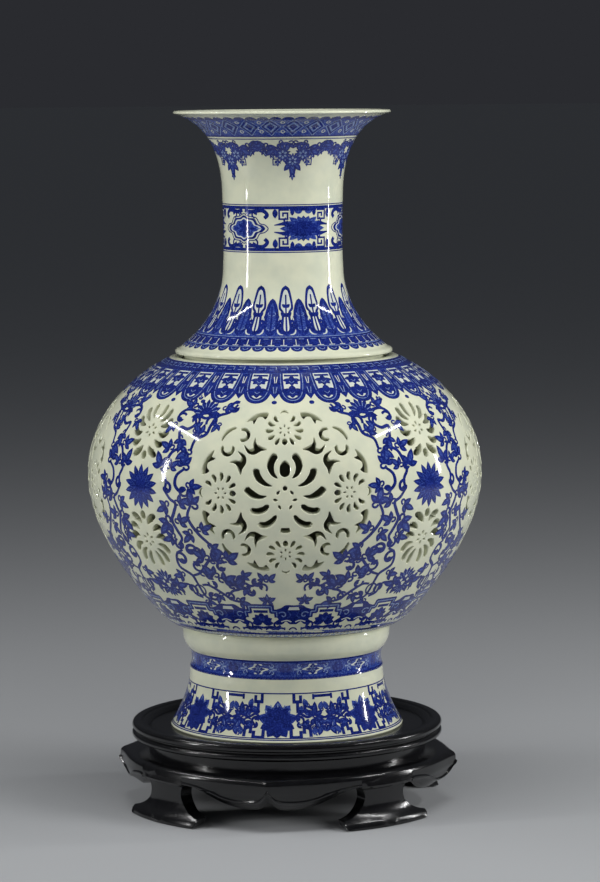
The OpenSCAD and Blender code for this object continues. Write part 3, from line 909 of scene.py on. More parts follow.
    def shell(self) -> None:
        """Cuts a quarter of the wall as a flat sheet, wraps it and closes the form with its bead and rim."""
        f = self.form
        holes = [h if self.area(h) > 0 else h[::-1] for h in self.quarter_holes()]
        low = -self.wrap.zero
        high = f.body.run[-1] - self.wrap.zero
        left = -self.quarter * 33 / 90
        columns = np.linspace(left, left + self.quarter, self.STEPS // 4 + 1)
        rows = np.linspace(low, high, 76)
        lifts = [self.grown(h, self.CHAMFER) for h in holes]
        spots = np.array([(x, y) for x in columns for y in rows])
        marks = np.vstack(lifts)
        border = (np.isin(spots[:, 0], (columns[0], columns[-1])) | np.isin(spots[:, 1], (rows[0], rows[-1])))
        near = np.array([np.min(np.abs(marks - s).max(axis=1)) < 0.9 for s in spots])
        spots = spots[border | ~near]
        points, faces, loops = [*map(tuple, spots)], [], []
        for loop in holes + lifts:
            loops.append(range(len(points), len(points) + len(loop)))
            points += [tuple(p) for p in loop]
        edges = [(r[i], r[(i + 1) % len(r)]) for r in loops[len(holes):] for i in range(len(r))]
        faces = [list(r) for r in loops[:len(holes)]]
        out, _, tris, kept, _, owner = delaunay_2d_cdt([Vector(p) for p in points], edges, faces, 0, 1e-4,
                                                       True)
        cut = {i for r in loops[:len(holes)] for i in r}
        bm = bmesh.new()
        verts = [bm.verts.new((*p, -self.CHAMFER * 0.8 if any(i in cut for i in ids) else 0))
                 for p, ids in zip(out, kept)]
        for tri, owners in zip(tris, owner):
            if not owners:
                bm.faces.new([verts[i] for i in tri])
        loose = [v for v in bm.verts if not v.link_faces]
        bmesh.ops.delete(bm, geom=loose, context="VERTS")
        bm.normal_update()
        bmesh.ops.reverse_faces(bm, faces=[face for face in bm.faces if face.normal.z < 0])
        grown = bmesh.ops.extrude_face_region(bm, geom=bm.faces[:])["geom"]
        top = {v for v in grown if isinstance(v, bmesh.types.BMVert)}
        for vert in bm.verts:
            if vert not in top:
                vert.co.z = -f.body_wall
        walls = [face for face in bm.faces if self.on_border(face, columns, rows)]
        bmesh.ops.delete(bm, geom=walls, context="FACES")
        wrap_mesh(bm, self.wrap)
        mesh = bpy.data.meshes.new("quarter")
        bm.to_mesh(mesh)
        bm.free()
        bm = bmesh.new()
        for k in range(4):
            before = len(bm.verts)
            bm.from_mesh(mesh)
            bm.verts.ensure_lookup_table()
            bmesh.ops.rotate(bm, cent=(0, 0, 0), matrix=Matrix.Rotation(k * math.pi / 2, 3, "Z"),
                             verts=bm.verts[before:])
        bmesh.ops.remove_doubles(bm, verts=bm.verts, dist=0.01 * MM)
        self.close(bm)
        bmesh.ops.recalc_face_normals(bm, faces=bm.faces)
        make_piece("pierced_body", bm, [self.palette.porcelain], "vase", ("outer_body",),
                   sharp=34)

    def close(self, bm: bmesh.types.BMesh) -> None:
        """Grows the mouth's rim and the bead at the bottom, and joins outside to inside."""
        f = self.form
        rim = cubic((f.bore_r + f.rim_w, f.mouth - 1), (f.bore_r + f.rim_w - 2, f.mouth + 0.2),
                    (f.bore_r + 0.4, f.mouth + 0.2), (f.bore_r, f.mouth - 1.6), 8)[1:]
        rim[:, 1] = np.minimum(rim[:, 1], f.mouth)
        rebate_z = f.joint + f.rebate_h
        bottom = np.vstack([f.bead_line[::-1][1:],
                            [(f.rebate_r, f.joint), (f.rebate_r, rebate_z), (f.rebate_in, rebate_z),
                             (f.rebate_in, f.joint + f.bead_h + 4)]])
        for height, section in ((f.mouth - 1, rim), (f.basin[1], bottom)):
            edges = [e for e in bm.edges if e.is_boundary
                     and abs(e.verts[0].co.z / MM - height) < 8 and abs(e.verts[1].co.z / MM - height) < 8]
            far = max(math.hypot(v.co.x, v.co.y) for e in edges for v in e.verts)
            outer = [e for e in edges if all(math.hypot(v.co.x, v.co.y) > far - 0.6 * MM for v in e.verts)]
            inner = [e for e in edges if e not in set(outer)]
            for r, z in section:
                grown = bmesh.ops.extrude_edge_only(bm, edges=outer)["geom"]
                for vert in (v for v in grown if isinstance(v, bmesh.types.BMVert)):
                    reach = math.hypot(vert.co.x, vert.co.y)
                    vert.co = (vert.co.x / reach * r * MM, vert.co.y / reach * r * MM, z * MM)
                outer = [e for e in grown if isinstance(e, bmesh.types.BMEdge)]
            bmesh.ops.bridge_loops(bm, edges=outer + inner)

    @staticmethod
    def on_border(face: bmesh.types.BMFace, columns: Array, rows: Array) -> bool:
        """Says whether a face of the flat sheet is a wall on the sheet's border."""
        xs = [v.co.x for v in face.verts]
        ys = [v.co.y for v in face.verts]
        return any(max(abs(x - edge) for x in xs) < 1e-3 for edge in (columns[0], columns[-1])) \
            or any(max(abs(y - edge) for y in ys) < 1e-3 for edge in (rows[0], rows[-1]))

    @staticmethod
    def area(loop: Array) -> float:
        """Returns the signed area inside a closed outline, positive when it runs anticlockwise."""
        x, y = loop.T
        return 0.5 * float(np.sum(x * np.roll(y, -1) - np.roll(x, -1) * y))

    @staticmethod
    def grown(loop: Array, by: float) -> Array:
        """Moves a closed anticlockwise outline outwards."""
        return sides(loop, 2 * by, True)[1]


# ---------------------------------------------------------------------------------------------------------
# Brush motifs, drawn pointing up from their origin
# ---------------------------------------------------------------------------------------------------------

def petal(length: float, width: float, start: float = 0) -> Array:
    """Draws a pointed petal that grows from its origin.

    Args:
        length: Distance of its tip from the origin.
        width: Its width.
        start: Distance of its root from the origin.

    Returns:
        The closed outline.
    """
    span = length - start
    side = cubic((0, start), (width * 0.85, start + 0.3 * span), (width * 0.5, start + 0.75 * span),
                 (0, length), 6)
    return np.vstack([side, side[-2:0:-1] * (-1, 1)])


def fan(count: int, spread: float) -> Array:
    """Returns angles in degrees that fan out evenly about straight up."""
    return np.linspace(-spread, spread, count)


class Motifs:
    """The motifs that the bands share, each drawn once."""

    def __init__(self) -> None:
        """Draws every motif."""
        self.leaf = self.draw_leaf()
        self.bud = self.draw_bud()
        self.blossom = self.draw_blossom()
        self.lotus = self.draw_lotus()
        self.curl = self.draw_curl()
        self.fret = self.draw_fret()
        self.cloud = self.draw_cloud()

    def draw_leaf(self) -> Drawing:
        """Draws a leaf of three pointed lobes with a curled root, about 9 mm long."""
        made = Drawing()
        for angle, length, width in ((58, 6.6, 3.5), (-52, 7.0, 3.6), (4, 9.8, 4.4)):
            made.fill(turned(petal(length, width), angle), Tone.DARK, 2)
            made.fill(turned(petal(length - 2.2, width - 2.4, 2.2), angle), Tone.MID, 3)
        made.line(spiral((2.2, -0.8), 2.4, 175, 0.8), 1.3, Tone.DARK, 3, (1, 0.9))
        return made

    def draw_bud(self) -> Drawing:
        """Draws a small three-pointed bud, about 5 mm long."""
        made = Drawing()
        for angle, length, width in ((40, 4.0, 1.8), (-40, 4.0, 1.8), (0, 5.4, 2.1)):
            made.fill(turned(petal(length, width), angle), Tone.DARK, 2)
        made.line([(0, 1.2), (0, 3.8)], 0.5, Tone.PALE, 3)
        return made

    def draw_curl(self) -> Drawing:
        """Draws a hooked tendril with a round end, about 5 mm across."""
        made = Drawing()
        made.line(spiral((0, 0), 3.1, -90, 0.85, 0.34), 1.5, Tone.DARK, 3, (0.8, 1.1))
        made.fill(circle((-0.4, 0.8), 1.25, 10), Tone.DARK, 3)
        return made

    def draw_blossom(self) -> Drawing:
        """Draws a lotus seen from the side, about 20 mm wide."""
        made = Drawing()
        for angle in fan(9, 98):
            made.fill(turned(petal(10.8, 4.0, 1), angle), Tone.DARK, 2)
        for angle in fan(8, 80):
            made.line(turned([(0, 4.4), (0, 8.2)], angle), 0.5, Tone.PALE, 3)
        made.fill(arc((0, 0), 4.6, -10, 190, 10), Tone.DARK, 4)
        for side in (-1, 1):
            made.line(spiral((side * 3.6, -2.0), 2.3, 90, side * -0.8), 1.1, Tone.DARK, 4)
        return made

    def draw_lotus(self) -> Drawing:
        """Draws a lotus seen from above, 27 mm across, with fourteen pointed petals."""
        made = Drawing()
        for k in range(14):
            made.fill(turned(petal(13.6, 4.0, 3), k * 360 / 14), Tone.DARK, 2)
            made.line(turned([(0, 8), (0, 12)], k * 360 / 14), 0.5, Tone.MID, 3)
        for k in range(14):
            made.fill(turned(petal(9.4, 2.4, 2), (k + 0.5) * 360 / 14), Tone.MID, 3)
            made.fill(turned(petal(8.6, 1.7, 2), (k + 0.5) * 360 / 14), Tone.DARK, 4)
        made.fill(circle((0, 0), 4.6, 18), Tone.DARK, 4)
        return made

    def draw_fret(self) -> Drawing:
        """Draws a square key-fret hook, 7 mm across."""
        made = Drawing()
        path = [(-3.5, 3.5), (3.2, 3.5), (3.2, -3.2), (-3, -3.2), (-3, 1.2), (0.4, 1.2), (0.4, -0.8)]
        for a, b in zip(path, path[1:]):
            reach = 0.6 / max(math.dist(a, b), 1e-6)
            made.line(np.array([share(a, b, -reach, -reach), share(a, b, 1 + reach, 1 + reach)]), 1.25,
                      Tone.DARK, 2)
        return made

    def draw_cloud(self) -> Drawing:
        """Draws a ruyi cloud head, 20 mm wide and 13 mm high."""
        made = Drawing()
        half = smooth([(0, 12.4), (4.6, 12.6), (7.4, 10.6), (10.4, 9.2), (11, 5.0), (9.2, 2.6), (11.4, 0.6),
                       (9.4, -1.6), (6.4, -0.8), (4.6, 1.0), (2.4, -1.0), (0, -1.2)], 3)
        made.fill(np.vstack([half, half[-2:0:-1] * (-1, 1)]), Tone.DARK, 2)
        for side in (-1, 1):
            made.line(spiral((side * 6.4, 5.6), 2.8, 90 - side * 60, side * 0.9), 0.75, Tone.PALE, 3)
            made.line(smooth([(side * 1.2, 0.6), (side * 4.2, 1.8), (side * 7.6, 0.8)], 4), 0.7, Tone.WHITE,
                      3)
            made.line(smooth([(side * 3.4, 8.6), (side * 2.0, 5.4), (side * 4.0, 3.4)], 4), 0.6, Tone.MID, 3)
        made.fill(np.array([(-3.4, 9.2), (3.4, 9.2), (2.6, 11.2), (-2.6, 11.2)]), Tone.WHITE, 3)
        made.fill(turned(petal(4.2, 2.6), 0, 1, (0, 3.2)), Tone.DARK, 4)
        return made


@dataclass
class Band:
    """A strip of painting that repeats round a form."""

    name: str
    outline: Outline
    low: float
    high: float
    repeats: int
    turn: float = 0.0

    def __post_init__(self) -> None:
        """Works out the strip's height and the width of one repeat."""
        self.radius = (self.outline.radius_at(self.low) + self.outline.radius_at(self.high)) / 2
        self.width = 2 * math.pi * self.radius / self.repeats
        self.height = self.outline.along_at(self.high) - self.outline.along_at(self.low)

    def paint(self, motif: Drawing, palette: Palette, body: str, slot: str) -> bpy.types.Object:
        """Repeats one drawing round the form.

        Args:
            motif: The drawing of one repeat, with its middle at x = 0 and its bottom at y = 0.
            palette: The materials.
            body: The CAD body it rides on.
            slot: Not used.

        Returns:
            The painted strip.
        """
        whole = Drawing()
        start = math.radians(self.turn) * self.radius
        for k in range(self.repeats):
            whole.stamp(motif, (start + k * self.width, 0))
        surface = Wrap(self.outline, self.outline.along_at(self.low), self.radius)
        return whole.lay_on(surface, self.name, palette, body)


class NeckPainting:
    """Bands of the neck: rhombi at the rim, hanging sprays, a cartouche band, leaves and borders."""

    def __init__(self, form: VaseForm, palette: Palette, motifs: Motifs) -> None:
        """Keeps the form, the materials and the motifs."""
        self.form = form
        self.palette = palette
        self.motifs = motifs

    def band(self, name: str, low: float, high: float, repeats: int, turn: float = 0) -> Band:
        """Returns a band between two heights above the vase's foot."""
        return Band(name, self.form.neck, self.form.seat + low, self.form.seat + high, repeats, turn)

    def paint(self) -> None:
        """Paints every band."""
        for band, motif in (self.rhombi(), self.sprays(), self.cartouches(), self.leaves(), self.border()):
            band.paint(motif, self.palette, "neck", "painted_neck")

    def rhombi(self) -> tuple[Band, Drawing]:
        """Draws the rim's band of rhombi on a netted ground under a scalloped edge."""
        band = self.band("rim_rhombi", 381.5, 395.6, 24, 7.5)
        w, h = band.width, band.height
        made = Drawing()
        low, high = 2.6, h - 2.6
        made.box(-w / 2, w / 2, low, high, Tone.MID, 0)
        for y, thick in ((0.5, 0.6), (low, 1.0), (high, 1.0)):
            made.line([(-w / 2, y), (w / 2, y)], thick, Tone.DARK, 3)
        middle, reach = (low + high) / 2, (high - low) / 2 - 1.2
        for size, tone, level in ((1.16, Tone.PALE, 1), (1.02, Tone.DARK, 2), (0.72, Tone.PALE, 3),
                                  (0.46, Tone.DARK, 4)):
            rhombus = np.array([(0, -reach), (w * 0.42, 0), (0, reach), (-w * 0.42, 0)]) * size + (0, middle)
            made.fill(rhombus, tone, level)
        for side in (-1, 1):
            for top in (-1, 1):
                spot = (side * w / 2, middle + top * reach * 0.62)
                made.line(spiral(spot, 1.8, 0, side * top * 0.7), 0.45, Tone.WHITE, 2)
                made.line([(spot[0] - side * 0.2, spot[1]), (spot[0] - side * 2.6, spot[1])], 0.4, Tone.PALE,
                          2)
        for k in (-0.25, 0.25):
            made.fill(arc((k * w, high), w * 0.23, 0, 180, 8), Tone.DARK, 2)
        return band, made

    def sprays(self) -> tuple[Band, Drawing]:
        """Draws the flower sprays that hang from the rim."""
        band = self.band("hanging_sprays", 351, 380, 6, 9)
        h, m = band.height, self.motifs
        made = Drawing()
        for flip in (False, True):
            side = -1 if flip else 1
            made.stamp(m.lotus, (side * 6.4, h - 8.6), 10, 0.4)
            made.stamp(m.leaf, (side * 2.6, h - 0.6), 180 + side * 14, 0.72, flip)
            made.stamp(m.leaf, (side * 8.0, h - 0.8), 180 - side * 30, 0.6, flip)
            made.stamp(m.fret, (side * 11.0, h - 13.8), 0, 0.56, flip)
            made.stamp(m.leaf, (side * 11.0, h - 4.6), side * -130, 0.85, flip)
            made.stamp(m.leaf, (side * 17.0, h - 3.4), side * -100, 0.75, not flip)
            made.stamp(m.leaf, (side * 24.2, h - 2.0), side * 100, 0.7, flip)
            made.stamp(m.bud, (side * 9.8, h - 12.4), 180, 0.8)
            made.line(smooth([(side * 9, h - 5), (side * 14, h - 2.4), (side * 18.5, h - 5.4),
                              (side * 24, h - 3.6)],
                             6), 1.3, Tone.DARK, 3)
            made.stamp(m.curl, (side * 15.6, h - 6.2), 0, 0.85, flip)
            made.stamp(m.curl, (side * 20.6, h - 2.6), 200, 0.8, flip)
            made.stamp(m.bud, (side * 18.6, h - 5.8), 180 - side * 20, 0.9)
            made.stamp(m.bud, (side * 13.8, h - 8.4), 180 - side * 30, 0.75)
            made.stamp(m.leaf, (side * 23.0, h - 4.2), 180 + side * 30, 0.42, flip)
        for x, y in ((-6.4, -8.6), (6.4, -8.6), (0, -12.8)):
            for k in range(6):
                made.fill(turned(petal(3.0, 1.3, 0.9), 60 * k, 1, (x, h + y)), Tone.PALE, 6)
        made.stamp(m.lotus, (0, h - 12.8), 0, 0.38)
        made.stamp(m.leaf, (-1.4, h - 14.4), 192, 0.95)
        made.stamp(m.leaf, (1.4, h - 14.4), 168, 0.95, True)
        made.stamp(m.bud, (0, h - 21.4), 180, 0.8)
        return band, made

    def cartouches(self) -> tuple[Band, Drawing]:
        """Draws the middle band: a four-lobed cartouche and a pointed lotus medallion between key frets."""
        band = self.band("neck_cartouches", 309.5, 340.5, 3, -40)
        w, h, m = band.width, band.height, self.motifs
        made = Drawing()
        for y, thick in ((0.4, 0.6), (2.2, 2.0), (h - 2.2, 2.0), (h - 0.4, 0.6)):
            made.line([(-w / 2, y), (w / 2, y)], thick, Tone.DARK, 3)
        middle = h / 2
        lobes = smooth([(13.4, 0), (11.6, 2.2), (9.0, 3.0), (7.0, 6.4), (2.8, 7.0), (0, 8.6), (-2.8, 7.0),
                        (-7, 6.4),
                        (-9.0, 3.0), (-11.6, 2.2), (-13.4, 0), (-11.6, -2.2), (-9, -3.0), (-7, -6.4),
                        (-2.8, -7),
                        (0, -8.6), (2.8, -7), (7, -6.4), (9, -3.0), (11.6, -2.2)], 3, True)
        lobes = lobes * (1.16, 0.98)
        made.line(lobes * 1.13 + (0, middle), 0.6, Tone.DARK, 3, closed=True)
        made.fill(lobes + (0, middle), Tone.DARK, 2)
        made.fill(lobes * 0.83 + (0, middle), Tone.WHITE, 3)
        made.fill(lobes * 0.72 + (0, middle), Tone.MID, 4)
        for k in range(6):
            made.fill(turned(petal(5.6, 2.0), 60 * k, 1, (0, middle)), Tone.DARK, 5)
        for side in (-1, 1):
            made.fill(turned(petal(4.6, 1.9), side * -90, 1, (side * 4.4, middle)), Tone.DARK, 5)
        flower = w / 2
        made.line([(-13.4, middle), (-9.6, middle)], 0.6, Tone.PALE, 6)
        made.line([(9.6, middle), (13.4, middle)], 0.6, Tone.PALE, 6)
        for half in (-1, 1):
            x = half * flower
            for angle in (0, 26, 52, 74, 90, 106, 128, 154, 180):
                reach = 8.2 + 7.4 * abs(math.sin(math.radians(angle))) ** 3
                made.fill(turned(petal(reach, 4.8, 0), half * angle, 1, (x, middle)), Tone.MID, 2)
                made.fill(turned(petal(reach * 0.66, 3.2, 0), half * angle, 1, (x, middle)), Tone.DARK, 3)
            for top in (-1, 1):
                at = x - half * 12.5
                made.line(smooth([(at + half * 4, middle + top * 1.4), (at, middle + top * 3.0),
                                  (at - half * 6.5, middle + top * 2.2)], 5), 2.6, Tone.DARK, 3, (1, 0.2))
                made.line(spiral((at + half * 1.2, middle + top * 4.8), 1.8, 90, top * half * 0.8), 1.2,
                          Tone.DARK, 3)
                made.stamp(m.fret, (x - half * 13.0, middle + top * 8.8), 0 if top > 0 else 180, 0.86,
                           (half * top) > 0)
                made.fill(turned(petal(6, 3.4), 180 if top > 0 else 0, 1,
                                 (x - half * 18.4, middle + top * (h / 2 - 3))), Tone.DARK, 3)
                made.line([(x, middle + top * (h / 2 - 3.4)), (x - half * 9, middle + top * (h / 2 - 3.4))],
                          1.6,
                          Tone.DARK, 3)
                made.fill(arc((x - half * 3.4, middle + top * (h / 2 - 3.4)), 2.8, 180 if top > 0 else 0,
                              360 if top > 0 else 180, 8), Tone.MID, 2)
                made.fill(turned(petal(4.4, 2.6), 180 if top > 0 else 0, 1,
                                 (x - half * 7.4, middle + top * (h / 2 - 3))), Tone.DARK, 3)
                corner = half * 10.5
                made.line(smooth([(half * 1.0, middle + top * (h / 2 - 3.8)),
                                  (half * 5.4, middle + top * (h / 2 - 4.8)),
                                  (corner + half * 3, middle + top * (h / 2 - 4.0)),
                                  (corner + half * 6.4, middle + top * 8.8),
                                  (corner + half * 4.6, middle + top * 6.6)], 5), 2.4, Tone.DARK, 3)
                made.stamp(m.curl, (half * 8.4, middle + top * (h / 2 - 6.2)), 0 if top > 0 else 180, 0.8,
                           half > 0)
                made.stamp(m.bud, (half * 3.6, middle + top * (h / 2 - 4.4)), 180 if top > 0 else 0, 0.7)
        return band, made

    def leaves(self) -> tuple[Band, Drawing]:
        """Draws the upright leaves at the bottom of the neck, tall ones before short ones."""
        band = self.band("upright_leaves", 257.5, 289, 16, 2)
        w, h = band.width, band.height
        made = Drawing()
        made.box(-w / 2, w / 2, 0, 11.0, Tone.MID, 0)
        for half in (-1, 1):
            x = half * w / 2
            rise = h - 8.5
            ground = [(x, 0), (x - half * 6.6, 0), (x - half * 5.6, 14.0), (x - half * 3.6, 18.6), (x, 19.6)]
            made.fill(np.array(ground), Tone.MID, 0)
            short = np.vstack([cubic((0, 0), (7.4, 4), (5.4, rise - 1.0), (0, rise), 8),
                               cubic((0, rise), (-5.4, rise - 1.0), (-7.4, 4), (0, 0), 8)[1:-1]])
            made.fill(np.array([p for p in short * (1, 1) if p[0] * half <= 1e-6]) + (x, 0), Tone.DARK, 1)
            inner = petal(h - 11, 5.4, 2)
            made.fill(np.array([p for p in inner if p[0] * half <= 1e-6]) + (x, 0), Tone.MID, 2)
            made.line([(x - half * 0.3, 3), (x - half * 0.3, h - 14)], 0.6, Tone.DARK, 3)
            for y in (5, 15.5):
                made.line(smooth([(x - half * 0.4, y), (x - half * 2.4, y + 1.0), (x - half * 2.2, y + 2.4)],
                                 3), 0.4,
                          Tone.PALE, 3)
            made.line(smooth([(half * 1.0, 3.0), (half * 3.4, 4.2), (half * 5.2, 8.6), (half * 3.8, 12.0),
                              (half * 2.2, 10.6)], 5), 1.8, Tone.DARK, 4)
            made.fill(turned(petal(7.5, 4.4), half * -34, 1, (half * 3.0, 7.5)), Tone.DARK, 2)
            made.line(smooth([(half * 2.0, 1.4), (half * 4.0, 2.0), (half * 5.2, 4.4), (half * 4.4, 8.4)], 5),
                      1.0,
                      Tone.WHITE, 3, (0.4, 0.4))
            made.line(smooth([(half * 3.4, 10.2), (half * 4.6, 12.4), (half * 3.9, 15.4)], 4), 0.7,
                      Tone.WHITE, 3,
                      (0.4, 0.4))
        top = smooth([(0, 1.0), (3.2, 5.5), (2.9, h - 19), (5.0, h - 15), (4.4, h - 8.2), (2.9, h - 2.2),
                      (0, h)], 4)
        made.fill(np.vstack([top, top[-2:0:-1] * (-1, 1)]), Tone.DARK, 2)
        inside = smooth([(0, 3.5), (1.7, 6.5), (1.3, h - 18.5), (3.4, h - 14.4), (2.8, h - 8.6),
                         (1.5, h - 4.0),
                         (0, h - 2.6)], 4)
        made.fill(np.vstack([inside, inside[-2:0:-1] * (-1, 1)]), Tone.WHITE, 3)
        made.line([(0, 2), (0, h - 6)], 1.1, Tone.DARK, 4)
        for y, size in ((h - 21, 0.95), (h - 14.6, 0.72)):
            for angle in (-50, 50):
                made.fill(turned(petal(5, 3.2), angle, size, (0, y)), Tone.DARK, 4)
        return band, made

    def border(self) -> tuple[Band, Drawing]:
        """Draws the T fret and the scallops above the flange."""
        band = self.band("neck_border", 248.6, 257.8, 48)
        w, h = band.width, band.height
        made = Drawing()
        base = 3.9
        made.box(-w / 2, w / 2, base, h, Tone.DARK, 0)
        for y in (base + 0.9, h - 0.7):
            made.line([(-w / 2, y), (w / 2, y)], 0.5, Tone.PALE, 2)
        made.line([(-w * 0.26, base + 1.9), (w * 0.26, base + 1.9)], 0.5, Tone.WHITE, 2)
        made.line([(0, base + 1.9), (0, h - 2.8)], 0.5, Tone.WHITE, 2)
        for half in (-1, 1):
            made.line([(half * w / 2, h - 2.4), (half * w * 0.28, h - 2.4)], 0.42, Tone.PALE, 2)
        made.fill(arc((0, base), w * 0.47, 180, 360, 8) * (1, 1), Tone.DARK, 1)
        made.line(arc((0, base - 0.2), w * 0.22, 190, 350, 6), 0.45, Tone.PALE, 2)
        return band, made


class FootPainting:
    """Bands of the foot: the recessed flower band and the peonies between key frets."""

    def __init__(self, form: VaseForm, palette: Palette, motifs: Motifs) -> None:
        """Keeps the form, the materials and the motifs."""
        self.form = form
        self.palette = palette
        self.motifs = motifs

    def paint(self) -> None:
        """Paints every band."""
        for band, motif in (self.flowers(), self.ring(), self.peonies()):
            band.paint(motif, self.palette, "vase", "painted_foot")

    def band(self, name: str, low: float, high: float, repeats: int, turn: float = 0) -> Band:
        """Returns a band between two heights above the foot."""
        return Band(name, self.form.foot, self.form.seat + low, self.form.seat + high, repeats, turn)

    def flowers(self) -> tuple[Band, Drawing]:
        """Draws the recessed band: light diamond flowers and dark pointed ovals on a blue ground."""
        band = self.band("recessed_flowers", 39.8, 51.2, 11, -17)
        w, h = band.width, band.height
        made = Drawing()
        made.box(-w / 2, w / 2, 0, h, Tone.MID, 0)
        for y in (0.6, h - 0.6):
            made.line([(-w / 2, y), (w / 2, y)], 1.2, Tone.DARK, 3)
        middle = h / 2
        diamond = smooth([(6.2, 0), (3.0, 1.3), (2.4, 2.6), (0, 4.4), (-2.4, 2.6), (-3.0, 1.3), (-6.2, 0),
                          (-3, -1.3), (-2.4, -2.6), (0, -4.4), (2.4, -2.6), (3, -1.3)], 3, True)
        made.fill(diamond * (1.16, 1.12) + (0, middle), Tone.WHITE, 1)
        made.fill(diamond * (0.76, 0.8) + (0, middle), Tone.DARK, 2)
        for k in range(6):
            made.line(turned([(0, 0.6), (0, 2.2)], 60 * k, 1, (0, middle)), 0.5, Tone.PALE, 3)
        for half in (-1, 1):
            oval = petal(h - 0.9, 8.0, 0.9)
            made.fill(np.array([p for p in oval if p[0] * half <= 1e-6]) + (half * w / 2, 0), Tone.DARK, 1)
            made.line([(half * (w / 2 - 0.4), 2.4), (half * (w / 2 - 0.4), h - 2.4)], 0.6, Tone.MID, 2)
            for top in (-1, 1):
                made.fill(arc((half * 8.6, middle + top * 3.4), 2.6, 0, 360, 14)[:-1], Tone.DARK, 1)
                made.line(spiral((half * 9.4, middle + top * 2.6), 1.9, 90 + half * 90, top * half * 0.9),
                          0.6,
                          Tone.PALE, 2)
                made.line(smooth([(half * 12.4, middle + top * 0.4), (half * 10.6, middle + top * 0.2),
                                  (half * 7.6, middle + top * 1.0)], 4), 0.6, Tone.PALE, 2)
                made.line(smooth([(half * 3.4, middle + top * 3.6), (half * 5.6, middle + top * 3.0),
                                  (half * 7.0, middle + top * 4.0)], 4), 0.8, Tone.DARK, 2)
        return band, made

    def ring(self) -> tuple[Band, Drawing]:
        """Draws the two lines round the plain ring."""
        band = self.band("ring_lines", 29.8, 39.8, 8)
        made = Drawing()
        for y in (0.5, band.height - 0.4):
            made.line([(-band.width / 2, y), (band.width / 2, y)], 0.8, Tone.DARK, 2)
        return band, made

    def peonies(self) -> tuple[Band, Drawing]:
        """Draws the foot's solid peonies with key frets above and below and scrolls between."""
        band = self.band("foot_peonies", 2.0, 29.6, 7, -5)
        w, h, m = band.width, band.height, self.motifs
        made = Drawing()
        for y in (0.4, 1.5):
            made.line([(-w / 2, y), (w / 2, y)], 0.7, Tone.DARK, 2)
        heart = (0, 12.5)
        for angle in fan(9, 150):
            made.fill(turned(petal(13.8 if abs(angle) < 90 else 11.6, 7.6, 0), angle, 1, heart), Tone.MID, 1)
            made.fill(turned(petal(11.6, 6.2, 0), angle, 1, heart), Tone.DARK, 2)
        for angle in fan(5, 48):
            made.line(turned([(0, 9.6), (0, 12.0)], angle, 1, heart), 0.7, Tone.PALE, 3)
        made.fill(turned(smooth([(7.2, 0), (5.6, 5.2), (0, 7.4), (-5.6, 5.2), (-7.2, 0), (-4.4, -6),
                                 (0, -10.6),
                                 (4.4, -6)], 4, True), 0, 1, heart), Tone.DARK, 3)
        for side in (-1, 1):
            for points in ([(11.0, h), (11.0, h - 4.6), (15.6, h - 4.6), (15.6, h - 1.4)],
                           [(14.6, 5.6), (14.6, 2.2), (8.6, 2.2), (8.6, 6.4)],
                           [(20.6, 3.2), (20.6, 8.6), (16.8, 8.6), (16.8, 5.4)],
                           [(13.4, h - 6.4), (13.4, h - 10.8), (18.2, h - 10.8), (18.2, h - 7.2)]):
                path = np.array(points) * (side, 1)
                for a, b in zip(path, path[1:]):
                    reach = 0.9 / max(math.dist(a, b), 1e-6)
                    made.line(np.array([share(a, b, -reach, -reach), share(a, b, 1 + reach, 1 + reach)]), 2.1,
                              Tone.DARK, 2)
            made.line(smooth([(side * 10.6, 14), (side * 14.6, 17.6), (side * 19.6, 15.4),
                              (side * 24.6, 17.0),
                              (side * w / 2, 14.6)], 6), 1.7, Tone.DARK, 2)
            for x, y, turn in ((13.6, 17.6, 30), (17.6, 12.6, 160), (21.4, 16.4, -40), (26.4, 12.4, 100),
                               (28.4, 19.4, 20), (24.6, 9.2, 200), (15.6, 9.8, 60), (19.8, 21.6, -20)):
                made.fill(turned(petal(6.2, 3.8), side * -turn, 1, (side * x, y)), Tone.MID, 1)
                made.line(turned(spiral((1.2, 1.5), 2.0, 180, 0.8), side * -turn, 1, (side * x, y)), 0.8,
                          Tone.DARK, 2)
            made.stamp(m.curl, (side * 14.2, 13.6), 20, 1.1, side < 0)
            made.stamp(m.curl, (side * 20.2, 12.2), 120, 1.0, side > 0)
            made.stamp(m.curl, (side * 22.2, 20.6), -60, 1.0, side < 0)
            made.stamp(m.leaf, (side * 24.4, 16.0), side * -10, 0.95, side < 0)
            made.stamp(m.leaf, (side * 24.0, 14.6), 180 + side * 30, 0.9, side > 0)
            made.stamp(m.leaf, (side * 28.6, 10.0), side * 160, 0.8, side > 0)
            made.stamp(m.bud, (side * 27.4, 8.0), side * 20, 0.9)
            made.stamp(m.bud, (side * 12.4, 9.6), side * -70, 0.9)
            made.line(smooth([(side * w / 2, 5.6), (side * 26.6, 7.4), (side * 23.6, 5.0),
                              (side * 24.6, 3.0)], 5), 1.0,
                      Tone.MID, 2)
            made.line([(side * w / 2, h - 1.2), (side * 24.4, h - 1.2)], 1.8, Tone.DARK, 2)
            made.line([(side * 24.6, h), (side * 24.6, h - 3.4)], 1.6, Tone.DARK, 2)
        return band, made


